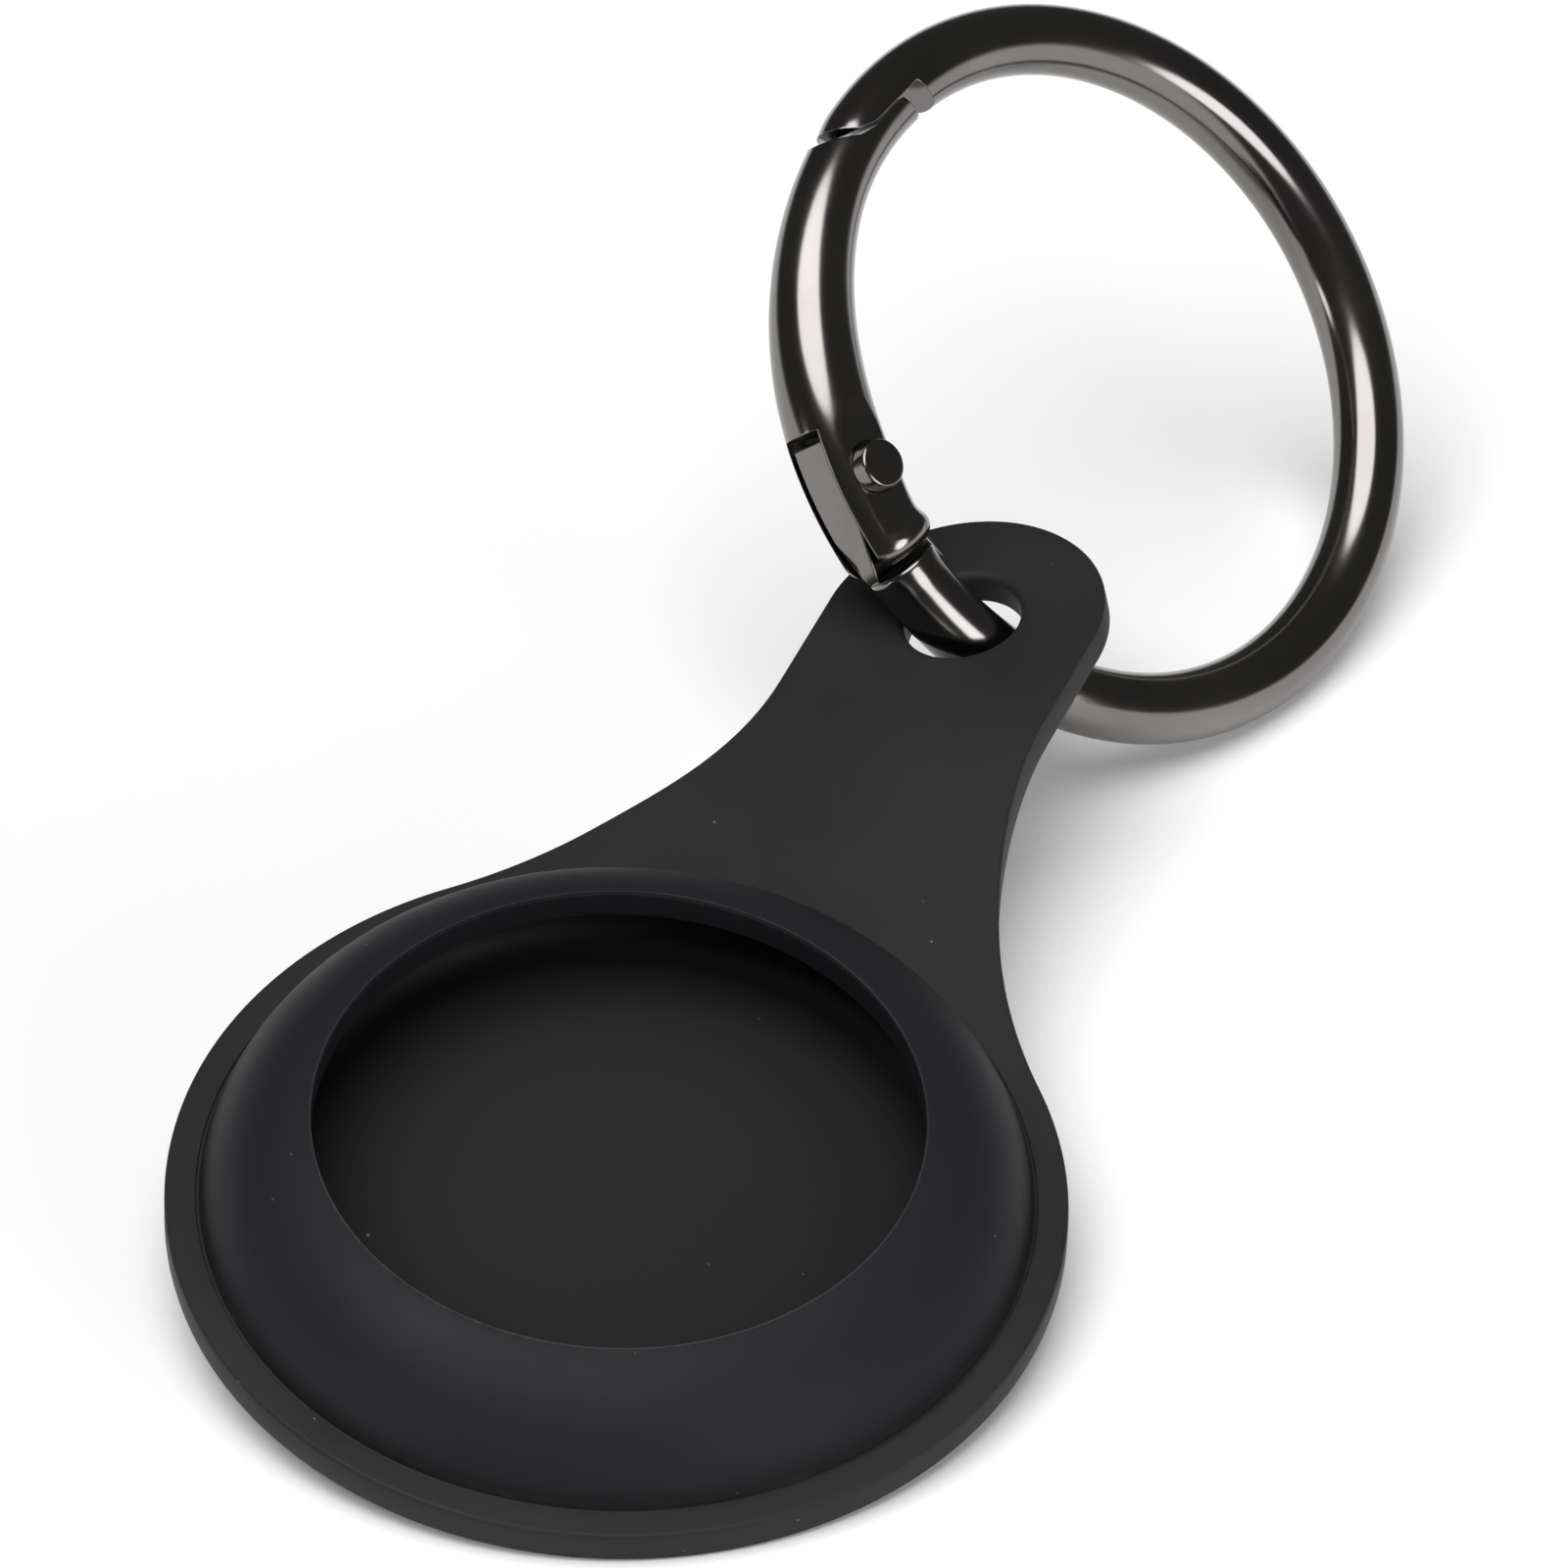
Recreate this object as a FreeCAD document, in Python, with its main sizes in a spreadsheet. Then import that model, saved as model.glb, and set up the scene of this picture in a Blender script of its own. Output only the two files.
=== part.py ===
import FreeCAD, Part
import math
import os
import re

import Sketcher

# Tracker tag holder: a soft silicone teardrop with a pocket for a round tag, and a
# metal spring-gate ring through its ear. Millimetres and degrees.
#
# Frame: the origin is the middle of the round back face and +Z is up from the table that
# the object lies on, propped at the ear by its ring. +Y runs from the pocket to the ear.
#
# The ring pieces are drawn in the ring's own frame: centre at the origin, wire in the XY
# plane, X through the hinge rivet, Z towards the side that shows the rivet's head.

SIZES = {
    # Pocket and collar
    "tag_radius": 15.95,
    "tag_clearance": 0.25,
    "collar_wall": 2.25,
    "flange_width": 1.55,
    "lip_overlap": 2.65,
    "lip_thickness": 1.5,
    "dome_curve": 6.5,
    "floor_thickness": 1.1,
    "pocket_depth": 4.05,
    "pocket_wall_height": 2.1,
    "pocket_corner": 1.6,
    "pocket_curve": 3.0,
    # Plate, neck and ear
    "plate_thickness": 1.6,
    "ear_reach": 39.4,
    "ear_flat": 6.0,
    "ear_radius": 6.7,
    "ear_hole_radius": 2.72,
    "ear_hole_round": 0.45,
    "ear_twist": 13.0,
    # How the object lies, and how the ring hangs in the ear
    "lie_pitch": 7.82,
    "lie_roll": 5.15,
    "ring_roll": 41.28,
    "ring_pitch": 5.75,
    "hinge_station": 154.23,
    "ear_station": 31.73,
    "ear_lean_out": 0.2,
    "ear_lean_back": 0.07,
    # Ring wire, hinge tongue and lap
    "ring_radius": 16.24,
    "wire_radius": 1.68,
    "shoulder_angle": 16.3,
    "tongue_thickness": 2.0,
    "tongue_root_angle": 22.8,
    "tongue_root_inset": 0.05,
    "tongue_end_angle": 6.6,
    "tongue_rise": 0.36,
    "tongue_face": 1.0,
    "heel_offset": 1.2,
    "heel_radius": 0.95,
    # Gate
    "knuckle_radius": 2.22,
    "knuckle_angle": 15.3,
    "knuckle_round": 0.9,
    "slot_width": 2.4,
    "slot_angle": 8.3,
    # Rivet
    "rivet_radius": 0.65,
    "rivet_seat_depth": 0.35,
    "rivet_head_radius": 1.17,
    "rivet_head_height": 1.28,
    "rivet_tail_height": 0.45,
    "rivet_head_round": 0.3,
    "rivet_fit": 0.02,
    "pivot_fit": 0.05,
    # Spring in the gate's bore, pressing on the tongue's heel
    "bore_radius": 0.9,
    "bore_inset": 0.63,
    "bore_depth": 5.2,
    "spring_wire_radius": 0.13,
    "spring_coil_radius": 0.6,
    "spring_turns": 7,
    "spring_seat": 0.04,
    # Cutting tools reach this far past what they cut
    "overrun": 2.0,
}

# The half-lap where the gate meets the nose: degrees from the rivet towards the nose, and
# heights above the wire's centre line as shares of the wire's radius.
NOSE_LAP_ANGLES = (57.2, 60.0, 63.2, 75.2, 79.4)
NOSE_LAP_SHARES = (1.27, 0.42, 0.12, 0.02, -1.27)
GATE_LAP_ANGLES = (54.2, 56.1, 57.1, 59.2, 62.9, 74.4, 78.5)
GATE_LAP_SHARES = (1.35, 1.0, 0.78, 0.28, 0.02, -0.08, -1.35)

# The gate swells from the wire's radius at its tip to the knuckle's radius at its hinge:
# degrees from the rivet towards the tip, and the share of that swelling.
GATE_STATION_ANGLES = (85.0, 69.0, 54.0, 39.0, 24.0, 9.0)
GATE_SWELL_SHARES = (0.0, 0.0, 0.0, 0.22, 0.65, 1.0)

# Degrees that the cut of a half-lap runs on past the end of its line.
LAP_RUN = 12.0

# Places along the twisted neck, as shares of its length.
NECK_SHARES = (0.0, 0.25, 0.5, 0.75, 1.0)

# Two lengths closer than this share of a size count as the same.
SAME_SHARE = 0.001

# Sizes that follow from the sheet, as expressions on its cells.
POCKET_RADIUS = "(tag_radius + tag_clearance)"
DOME_RADIUS = f"({POCKET_RADIUS} + collar_wall)"
BASE_RADIUS = f"({DOME_RADIUS} + flange_width)"
LIP_RADIUS = f"({POCKET_RADIUS} - lip_overlap)"
LIP_UNDERSIDE = "(floor_thickness + pocket_depth)"
LIP_HEIGHT = f"({LIP_UNDERSIDE} + lip_thickness)"
POCKET_SHOULDER = "(floor_thickness + pocket_wall_height)"
NECK_END = "(ear_reach - ear_flat)"
FLARE_RADIUS = f"((ear_radius^2 + {NECK_END}^2 - {BASE_RADIUS}^2) / (2 * ({BASE_RADIUS} - ear_radius)))"
FLARE_SHARE = f"({BASE_RADIUS} / ({BASE_RADIUS} + {FLARE_RADIUS}))"
RIVET_SEAT = "(knuckle_radius - rivet_seat_depth)"
SLOT_WALL = "(ring_radius * sin(slot_angle))"
HEEL_FACE = "(heel_offset * sin(slot_angle) + heel_radius + spring_seat)"

ORIGIN = FreeCAD.Vector(0, 0, 0)
X_AXIS = FreeCAD.Vector(1, 0, 0)
Y_AXIS = FreeCAD.Vector(0, 1, 0)
Z_AXIS = FreeCAD.Vector(0, 0, 1)

doc = FreeCAD.newDocument("tag_holder")
sheet = doc.addObject("Spreadsheet::Sheet", "Sizes")
for row, (alias, number) in enumerate(SIZES.items(), start=1):
    sheet.set(f"A{row}", alias)
    sheet.set(f"B{row}", str(number))
    sheet.setAlias(f"B{row}", alias)
doc.recompute()


def cells(text):
    """The expression with each size name pointed at its cell in the sheet."""
    return re.sub(r"[a-z_]+", lambda word: f"Sizes.{word[0]}" if word[0] in SIZES else word[0], text)


def value(text):
    """The number that an expression on the sheet gives now."""
    return float(sheet.evalExpression(cells(text)))


def bind(item, prop, text):
    """Tie a property to the sheet."""
    item.setExpression(prop, cells(text))


def new_body(label):
    """An empty body that will be one piece of the object."""
    body = doc.addObject("PartDesign::Body", label)
    body.Label = label
    return body


def origin_feature(body, role):
    """One of the body's own base planes or axes."""
    return next(item for item in body.Origin.OriginFeatures if item.Role == role)


def sketch_on(body, name, role, turn_axis=None, turn="0", shift=("0", "0", "0")):
    """A sketch on a base plane of the body, moved and then turned about one of its own axes."""
    sketch = body.newObject("Sketcher::SketchObject", name)
    sketch.AttachmentSupport = [(origin_feature(body, role), "")]
    sketch.MapMode = "FlatFace"
    if turn_axis is not None:
        sketch.AttachmentOffset = FreeCAD.Placement(ORIGIN, FreeCAD.Rotation(turn_axis, value(turn)))
        bind(sketch, "AttachmentOffset.Rotation.Angle", turn)
    for letter, text in zip("xyz", shift):
        if text != "0":
            bind(sketch, f"AttachmentOffset.Base.{letter}", text)
    return sketch


def pin_point(sketch, edge, end, x, y):
    """Hold a point of the sketch at x and y, both expressions on the sheet."""
    for text, kind, axis in ((x, "DistanceX", -2), (y, "DistanceY", -1)):
        if text == "0":
            sketch.addConstraint(Sketcher.Constraint("PointOnObject", edge, end, axis))
        else:
            index = sketch.addConstraint(Sketcher.Constraint(kind, edge, end, value(text)))
            bind(sketch, f"Constraints[{index}]", text)


def circle(sketch, x, y, radius):
    """A circle whose centre and radius are tied to the sheet."""
    centre = FreeCAD.Vector(value(x), value(y), 0)
    edge = sketch.addGeometry(Part.Circle(centre, Z_AXIS, value(radius)))
    pin_point(sketch, edge, 3, x, y)
    index = sketch.addConstraint(Sketcher.Constraint("Radius", edge, value(radius)))
    bind(sketch, f"Constraints[{index}]", radius)


def arc_between(start, finish, radius, side):
    """The short arc from start to finish, its centre to the left (1) or right (-1) of the way."""
    chord = finish - start
    normal = FreeCAD.Vector(-chord.y, chord.x, 0).normalize() * side
    height = math.sqrt(radius ** 2 - (chord.Length / 2) ** 2)
    centre = (start + finish) / 2 + normal * height
    ends = (start, finish) if side > 0 else (finish, start)
    angles = [math.atan2(point.y - centre.y, point.x - centre.x) for point in ends]
    return Part.ArcOfCircle(Part.Circle(centre, Z_AXIS, radius), *angles)


def outline(sketch, corners):
    """A closed outline through corners, each (x, y) or (x, y, radius, side).

    A corner with a radius starts an arc to the next corner, the others start a straight line.
    """
    points = [FreeCAD.Vector(value(corner[0]), value(corner[1]), 0) for corner in corners]
    starts = []
    ends = []
    for index, corner in enumerate(corners):
        start = points[index]
        finish = points[(index + 1) % len(points)]
        if len(corner) == 2:
            edge = sketch.addGeometry(Part.LineSegment(start, finish))
            starts.append((edge, 1))
            ends.append((edge, 2))
            continue
        radius, side = corner[2:]
        edge = sketch.addGeometry(arc_between(start, finish, value(radius), side))
        starts.append((edge, 1 if side > 0 else 2))
        ends.append((edge, 2 if side > 0 else 1))
    for index, corner in enumerate(corners):
        sketch.addConstraint(Sketcher.Constraint("Coincident", *ends[index - 1], *starts[index]))
        pin_point(sketch, *starts[index], corner[0], corner[1])
        if len(corner) > 2:
            held = sketch.addConstraint(Sketcher.Constraint("Radius", starts[index][0], value(corner[2])))
            bind(sketch, f"Constraints[{held}]", corner[2])


def polar(angle, radius):
    """Corner at an angle and a radius in the ring's plane, both expressions."""
    return (f"({radius}) * cos({angle})", f"({radius}) * sin({angle})")


def pad(body, name, sketch, length):
    """Thicken a sketch by the same amount on both of its sides."""
    feature = body.newObject("PartDesign::Pad", name)
    feature.Profile = sketch
    feature.SideType = "Symmetric"
    bind(feature, "Length", length)
    return feature


def pocket(body, name, sketch, length):
    """Cut a sketch into the body by the same amount on both of its sides."""
    feature = body.newObject("PartDesign::Pocket", name)
    feature.Profile = sketch
    feature.SideType = "Symmetric"
    bind(feature, "Length", length)
    return feature


def turned(body, kind, name, sketch, angle="360"):
    """Turn a sketch about the body's Z axis, as a solid or as a groove."""
    feature = body.newObject(f"PartDesign::{kind}", name)
    feature.Profile = sketch
    feature.ReferenceAxis = (origin_feature(body, "Z_Axis"), [""])
    bind(feature, "Angle", angle)
    return feature


def loft(body, name, sections):
    """A smooth solid through a row of sketches."""
    feature = body.newObject("PartDesign::AdditiveLoft", name)
    feature.Profile = sections[0]
    feature.Sections = sections[1:]
    return feature


def fillet(body, name, base, picks, radius):
    """Round the edges of a feature that the test picks out."""
    doc.recompute()
    feature = body.newObject("PartDesign::Fillet", name)
    names = [f"Edge{number}" for number, edge in enumerate(base.Shape.Edges, start=1) if picks(edge)]
    feature.Base = (base, names)
    bind(feature, "Radius", radius)
    return feature


def neck_half_width(place):
    """Half the neck's width at a distance from the pocket's middle: a flare that ends straight."""
    return f"(ear_radius + {FLARE_RADIUS} - sqrt({FLARE_RADIUS}^2 - ({NECK_END} - {place})^2))"


def holder_plate(body):
    """The flat teardrop as far as the round flange reaches, and the twisted neck and ear after it."""
    shoulder = neck_half_width(BASE_RADIUS)
    side_x = f"{FLARE_SHARE} * (ear_radius + {FLARE_RADIUS})"
    side_y = f"{FLARE_SHARE} * {NECK_END}"
    sketch = sketch_on(body, "plate_outline", "XY_Plane", shift=("0", "0", "plate_thickness / 2"))
    outline(sketch, [
        (shoulder, BASE_RADIUS),
        (f"-{shoulder}", BASE_RADIUS, FLARE_RADIUS, -1),
        (f"-{side_x}", side_y, BASE_RADIUS, 1),
        ("0", f"-{BASE_RADIUS}", BASE_RADIUS, 1),
        (side_x, side_y, FLARE_RADIUS, -1),
    ])
    pad(body, "plate", sketch, "plate_thickness")

    sections = []
    for number, share in enumerate(NECK_SHARES):
        place = f"({BASE_RADIUS} + ({NECK_END} - {BASE_RADIUS}) * {share})"
        eased_share = share * share * (3 - 2 * share)
        sketch = sketch_on(body, f"neck_section_{number}", "XZ_Plane", Z_AXIS, f"ear_twist * {eased_share}",
                           ("0", "plate_thickness / 2", f"-{place}"))
        half = neck_half_width(place)
        outline(sketch, [
            (half, "plate_thickness / 2"),
            (f"-{half}", "plate_thickness / 2"),
            (f"-{half}", "-plate_thickness / 2"),
            (half, "-plate_thickness / 2"),
        ])
        sections.append(sketch)
    loft(body, "neck", sections)

    ear_plane = ("XY_Plane", Y_AXIS, "-ear_twist", ("0", "0", "plate_thickness / 2"))
    sketch = sketch_on(body, "ear_outline", *ear_plane)
    outline(sketch, [
        ("ear_radius", NECK_END),
        ("ear_radius", "ear_reach", "ear_radius", 1),
        ("0", "ear_reach + ear_radius", "ear_radius", 1),
        ("-ear_radius", "ear_reach"),
        ("-ear_radius", NECK_END),
    ])
    pad(body, "ear", sketch, "plate_thickness")
    sketch = sketch_on(body, "ear_hole_outline", *ear_plane)
    circle(sketch, "0", "ear_reach", "ear_hole_radius")
    return pocket(body, "ear_hole", sketch, "plate_thickness + overrun")


def make_holder():
    """The silicone moulding: plate, neck, ear, domed collar and the pocket under its lip."""
    body = new_body("holder_body")
    hole = holder_plate(body)
    hole_radius = value("ear_hole_radius")

    def rims_hole(edge):
        if not isinstance(edge.Curve, Part.Circle):
            return False
        return abs(edge.Curve.Radius - hole_radius) < hole_radius * SAME_SHARE

    fillet(body, "ear_hole_rims", hole, rims_hole, "ear_hole_round")
    sketch = sketch_on(body, "dome_profile", "XZ_Plane")
    outline(sketch, [
        ("0", "0"),
        (DOME_RADIUS, "0"),
        (DOME_RADIUS, "plate_thickness", "dome_curve", 1),
        (LIP_RADIUS, LIP_HEIGHT),
        ("0", LIP_HEIGHT),
    ])
    turned(body, "Revolution", "dome", sketch)
    sketch = sketch_on(body, "pocket_profile", "XZ_Plane")
    outline(sketch, [
        ("0", "floor_thickness"),
        (f"{POCKET_RADIUS} - pocket_corner", "floor_thickness", "pocket_corner", 1),
        (POCKET_RADIUS, "floor_thickness + pocket_corner"),
        (POCKET_RADIUS, POCKET_SHOULDER, "pocket_curve", 1),
        (LIP_RADIUS, LIP_UNDERSIDE),
        (LIP_RADIUS, f"{LIP_HEIGHT} + overrun"),
        ("0", f"{LIP_HEIGHT} + overrun"),
    ])
    turned(body, "Groove", "tag_pocket", sketch)
    return body


def lap_corners(angles, shares):
    """The half-lap's line in the ring's plane."""
    heights = [f"ring_radius + wire_radius * {share}" for share in shares]
    return [polar(f"-{angle}", height) for angle, height in zip(angles, heights)]


def cut_lap(body, name, angles, shares, far_angle):
    """Cut away all that lies between the half-lap's line and a far angle."""
    inside = "ring_radius - wire_radius - overrun"
    outside = "ring_radius + wire_radius + overrun"
    sketch = sketch_on(body, f"{name}_outline", "XY_Plane")
    outline(sketch, lap_corners(angles, shares) + [
        polar(f"-{angles[-1]}", inside),
        polar(f"-{far_angle}", inside),
        polar(f"-{far_angle}", outside),
        polar(f"-{angles[0]}", outside),
    ])
    return pocket(body, name, sketch, "2 * (knuckle_radius + overrun)")


def make_ring():
    """The cast ring: round wire from the hinge shoulder to the nose, and the flat hinge tongue."""
    body = new_body("ring_body")
    sketch = sketch_on(body, "wire_section", "XZ_Plane", Y_AXIS, "shoulder_angle")
    circle(sketch, "ring_radius", "0", "wire_radius")
    turned(body, "Revolution", "wire", sketch, f"360 - {NOSE_LAP_ANGLES[0]} - shoulder_angle")
    cut_lap(body, "nose_lap", NOSE_LAP_ANGLES, NOSE_LAP_SHARES, NOSE_LAP_ANGLES[0] - LAP_RUN)

    sketch = sketch_on(body, "tongue_outline", "XY_Plane")
    outline(sketch, [
        (*polar("-tongue_end_angle", "ring_radius + wire_radius + tongue_rise"), "ring_radius + wire_radius", 1),
        polar("tongue_root_angle", "ring_radius + wire_radius - tongue_root_inset"),
        polar("tongue_root_angle", "ring_radius - wire_radius + tongue_root_inset"),
        ("ring_radius - heel_offset", "heel_radius", "heel_radius", 1),
        ("ring_radius - heel_offset - heel_radius", "0", "heel_radius", 1),
        ("ring_radius - heel_offset", "-heel_radius"),
        ("ring_radius", "-tongue_face"),
    ])
    pad(body, "tongue", sketch, "tongue_thickness")
    sketch = sketch_on(body, "pivot_hole_outline", "XY_Plane")
    circle(sketch, "ring_radius", "0", "rivet_radius + pivot_fit")
    pocket(body, "pivot_hole", sketch, "tongue_thickness + overrun")
    return body


def make_gate():
    """The sprung arm: swelling round bar, half-lap tip, forked knuckle, spring bore and rivet seats."""
    body = new_body("gate")
    sections = []
    stations = list(zip(GATE_STATION_ANGLES, GATE_SWELL_SHARES))
    for number, (angle, share) in enumerate(stations):
        sketch = sketch_on(body, f"gate_section_{number}", "XZ_Plane", Y_AXIS, f"-{angle}")
        circle(sketch, "ring_radius", "0", f"wire_radius + (knuckle_radius - wire_radius) * {share}")
        sections.append(sketch)
    loft(body, "bar", sections)
    sketch = sketch_on(body, "knuckle_section", "XZ_Plane", Y_AXIS, "knuckle_angle")
    circle(sketch, "ring_radius", "0", "knuckle_radius")
    knuckle = turned(body, "Revolution", "knuckle", sketch, f"knuckle_angle + {GATE_STATION_ANGLES[-1]}")
    knuckle.Reversed = True
    end_angle = math.radians(value("knuckle_angle"))
    end_direction = FreeCAD.Vector(-math.sin(end_angle), math.cos(end_angle), 0)

    def rims_end(edge):
        nearby = value("wire_radius") * SAME_SHARE
        return all(abs(vertex.Point.dot(end_direction)) < nearby for vertex in edge.Vertexes)

    fillet(body, "knuckle_end", knuckle, rims_end, "knuckle_round")
    cut_lap(body, "tip_lap", GATE_LAP_ANGLES, GATE_LAP_SHARES, GATE_LAP_ANGLES[-1] + LAP_RUN)

    inside = "ring_radius - knuckle_radius - overrun"
    outside = "ring_radius + knuckle_radius + overrun"
    sketch = sketch_on(body, "slot_outline", "XY_Plane")
    outline(sketch, [
        polar("-slot_angle", inside),
        polar("-slot_angle", outside),
        polar("2 * knuckle_angle", outside),
        polar("2 * knuckle_angle", inside),
    ])
    pocket(body, "slot", sketch, "slot_width")
    sketch = sketch_on(body, "rivet_hole_outline", "XY_Plane")
    circle(sketch, "ring_radius", "0", "rivet_radius + rivet_fit")
    pocket(body, "rivet_hole", sketch, "2 * (knuckle_radius + overrun)")
    for name, side in (("rivet_seat_front", ""), ("rivet_seat_back", "-")):
        middle = f"{side}({RIVET_SEAT} + knuckle_radius / 2)"
        sketch = sketch_on(body, f"{name}_outline", "XY_Plane", shift=("0", "0", middle))
        circle(sketch, "ring_radius", "0", "rivet_head_radius + pivot_fit")
        pocket(body, name, sketch, "knuckle_radius")
    sketch = sketch_on(body, "spring_bore_outline", "XZ_Plane", Y_AXIS, "-slot_angle")
    circle(sketch, "ring_radius * cos(slot_angle) - bore_inset", "0", "bore_radius")
    spring_bore = body.newObject("PartDesign::Pocket", "spring_bore")
    spring_bore.Profile = sketch
    spring_bore.Reversed = True
    bind(spring_bore, "Length", "bore_depth")
    return body


def make_rivet():
    """The hinge rivet along Z, with a proud rounded head in front and a low one behind."""
    body = new_body("pivot_rivet")
    head_top = f"({RIVET_SEAT} + rivet_head_height)"
    tail_top = f"({RIVET_SEAT} + rivet_tail_height)"
    rounding = "rivet_head_radius - rivet_head_round"
    sketch = sketch_on(body, "rivet_profile", "XZ_Plane")
    outline(sketch, [
        ("0", f"-{tail_top}"),
        (rounding, f"-{tail_top}", "rivet_head_round", 1),
        ("rivet_head_radius", f"-{tail_top} + rivet_head_round"),
        ("rivet_head_radius", f"-{RIVET_SEAT}"),
        ("rivet_radius", f"-{RIVET_SEAT}"),
        ("rivet_radius", RIVET_SEAT),
        ("rivet_head_radius", RIVET_SEAT),
        ("rivet_head_radius", f"{head_top} - rivet_head_round", "rivet_head_round", 1),
        (rounding, head_top),
        ("0", head_top),
    ])
    turned(body, "Revolution", "rivet", sketch)
    return body


def joined_arcs(start, start_way, finish, finish_way):
    """Two arcs that leave start and reach finish along the given unit ways, and meet smoothly."""
    span = finish - start
    ways = start_way + finish_way
    spread = 2 * (1 - start_way.dot(finish_way))
    reach = (math.sqrt(span.dot(ways) ** 2 + spread * span.dot(span)) - span.dot(ways)) / spread
    middle = (start + finish + (start_way - finish_way) * reach) / 2
    edges = []
    for point, other, way in ((start, middle, start_way), (finish, middle, finish_way * -1)):
        chord = other - point
        along = FreeCAD.Vector(chord).normalize()
        across = (way - along * way.dot(along)).normalize()
        rise = chord.Length / 2 * math.tan(math.acos(way.dot(along)) / 2)
        ends = (point, other) if point is start else (other, point)
        edges.append(Part.Arc(ends[0], (point + other) / 2 + across * rise, ends[1]).toShape())
    return edges


def make_spring(length):
    """The coil spring along Z from the origin, as one round wire along a helix of smooth arcs."""
    coil = value("spring_coil_radius")
    wire = value("spring_wire_radius")
    quarters = 4 * round(value("spring_turns"))
    climb = (length - 2 * wire) / quarters
    rise_angle = math.atan2(climb, coil * math.pi / 2)
    edges = []
    for quarter in range(quarters):
        ends = []
        for step in (quarter, quarter + 1):
            angle = step * math.pi / 2
            point = FreeCAD.Vector(coil * math.cos(angle), coil * math.sin(angle), wire + climb * step)
            way = FreeCAD.Vector(-math.sin(angle), math.cos(angle), math.tan(rise_angle)).normalize()
            ends += [point, way]
        edges += joined_arcs(*ends)
    path = Part.Wire(edges)
    start_way = FreeCAD.Vector(0, 1, math.tan(rise_angle))
    section = Part.Wire(Part.Circle(FreeCAD.Vector(coil, 0, wire), start_way, wire).toShape())
    spring = doc.addObject("Part::Feature", "gate_spring")
    spring.Label = "gate_spring"
    spring.Shape = path.makePipeShell([section], True, False)
    print("least gap between spring turns", round(4 * climb * math.cos(rise_angle) - 2 * wire, 3))
    return spring


def turn(axis, text):
    """A turn about an axis by an angle from the sheet."""
    return FreeCAD.Rotation(axis, value(text))


def ring_frame(lie):
    """Where the ring's own frame lies: its wire runs through the ear's hole and leans on one side of it."""
    way = turn(Y_AXIS, "ring_roll") * turn(X_AXIS, "ring_pitch") * turn(Z_AXIS, "90 + hinge_station")
    hole = FreeCAD.Vector(0, value("ear_reach"), value("plate_thickness / 2"))
    at_hole = polar("ear_station", "ring_radius - ear_lean_out")
    at_hole = FreeCAD.Vector(*(value(text) for text in at_hole), value("ear_lean_back"))
    return lie * FreeCAD.Placement(hole - way.multVec(at_hole), way)


def bore_frame(ring):
    """The mouth of the gate's bore, Z along the bore towards the gate's tip."""
    mouth = polar("-slot_angle", "ring_radius * cos(slot_angle) - bore_inset")
    mouth = FreeCAD.Vector(*(value(text) for text in mouth), 0)
    return ring * FreeCAD.Placement(mouth, turn(Z_AXIS, "-slot_angle") * FreeCAD.Rotation(X_AXIS, 90))


lie = FreeCAD.Placement(ORIGIN, turn(X_AXIS, "lie_pitch") * turn(Y_AXIS, "lie_roll"))
ring = ring_frame(lie)
bore = bore_frame(ring)
spring_place = value(f"{HEEL_FACE} - {SLOT_WALL}")
spring_length = value("bore_depth - spring_seat") - spring_place

placements = {
    make_holder(): lie,
    make_ring(): ring,
    make_gate(): ring,
    make_rivet(): ring * FreeCAD.Placement(X_AXIS * value("ring_radius"), FreeCAD.Rotation()),
    make_spring(spring_length): bore * FreeCAD.Placement(Z_AXIS * spring_place, FreeCAD.Rotation()),
}
for piece, placement in placements.items():
    piece.Placement = placement
doc.recompute()

for item in doc.Objects:
    if "Invalid" in item.State or "Error" in item.State:
        raise RuntimeError(f"{item.Label} did not build: {item.State}")
for piece in placements:
    if piece.Shape.isNull() or not piece.Shape.isValid() or len(piece.Shape.Solids) != 1:
        raise RuntimeError(f"{piece.Label} is not one valid solid")
os.makedirs("parts", exist_ok=True)
for piece in placements:
    piece.Shape.exportStep(f"parts/{piece.Label}.step")
    print(piece.Label, round(piece.Shape.Volume, 2), piece.Shape.BoundBox)
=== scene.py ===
"""Tracker tag holder: soft silicone teardrop with a tag pocket, and a plated spring-gate ring in its ear."""

import logging
import math
from collections.abc import Callable
from dataclasses import dataclass
from enum import Enum

import bmesh
import bpy
from bmesh.types import BMEdge, BMesh, BMVert
from bpy.types import Material, Mesh, Node, NodeSocket, NodeTree, Object
from mathutils import Matrix, Vector


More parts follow.
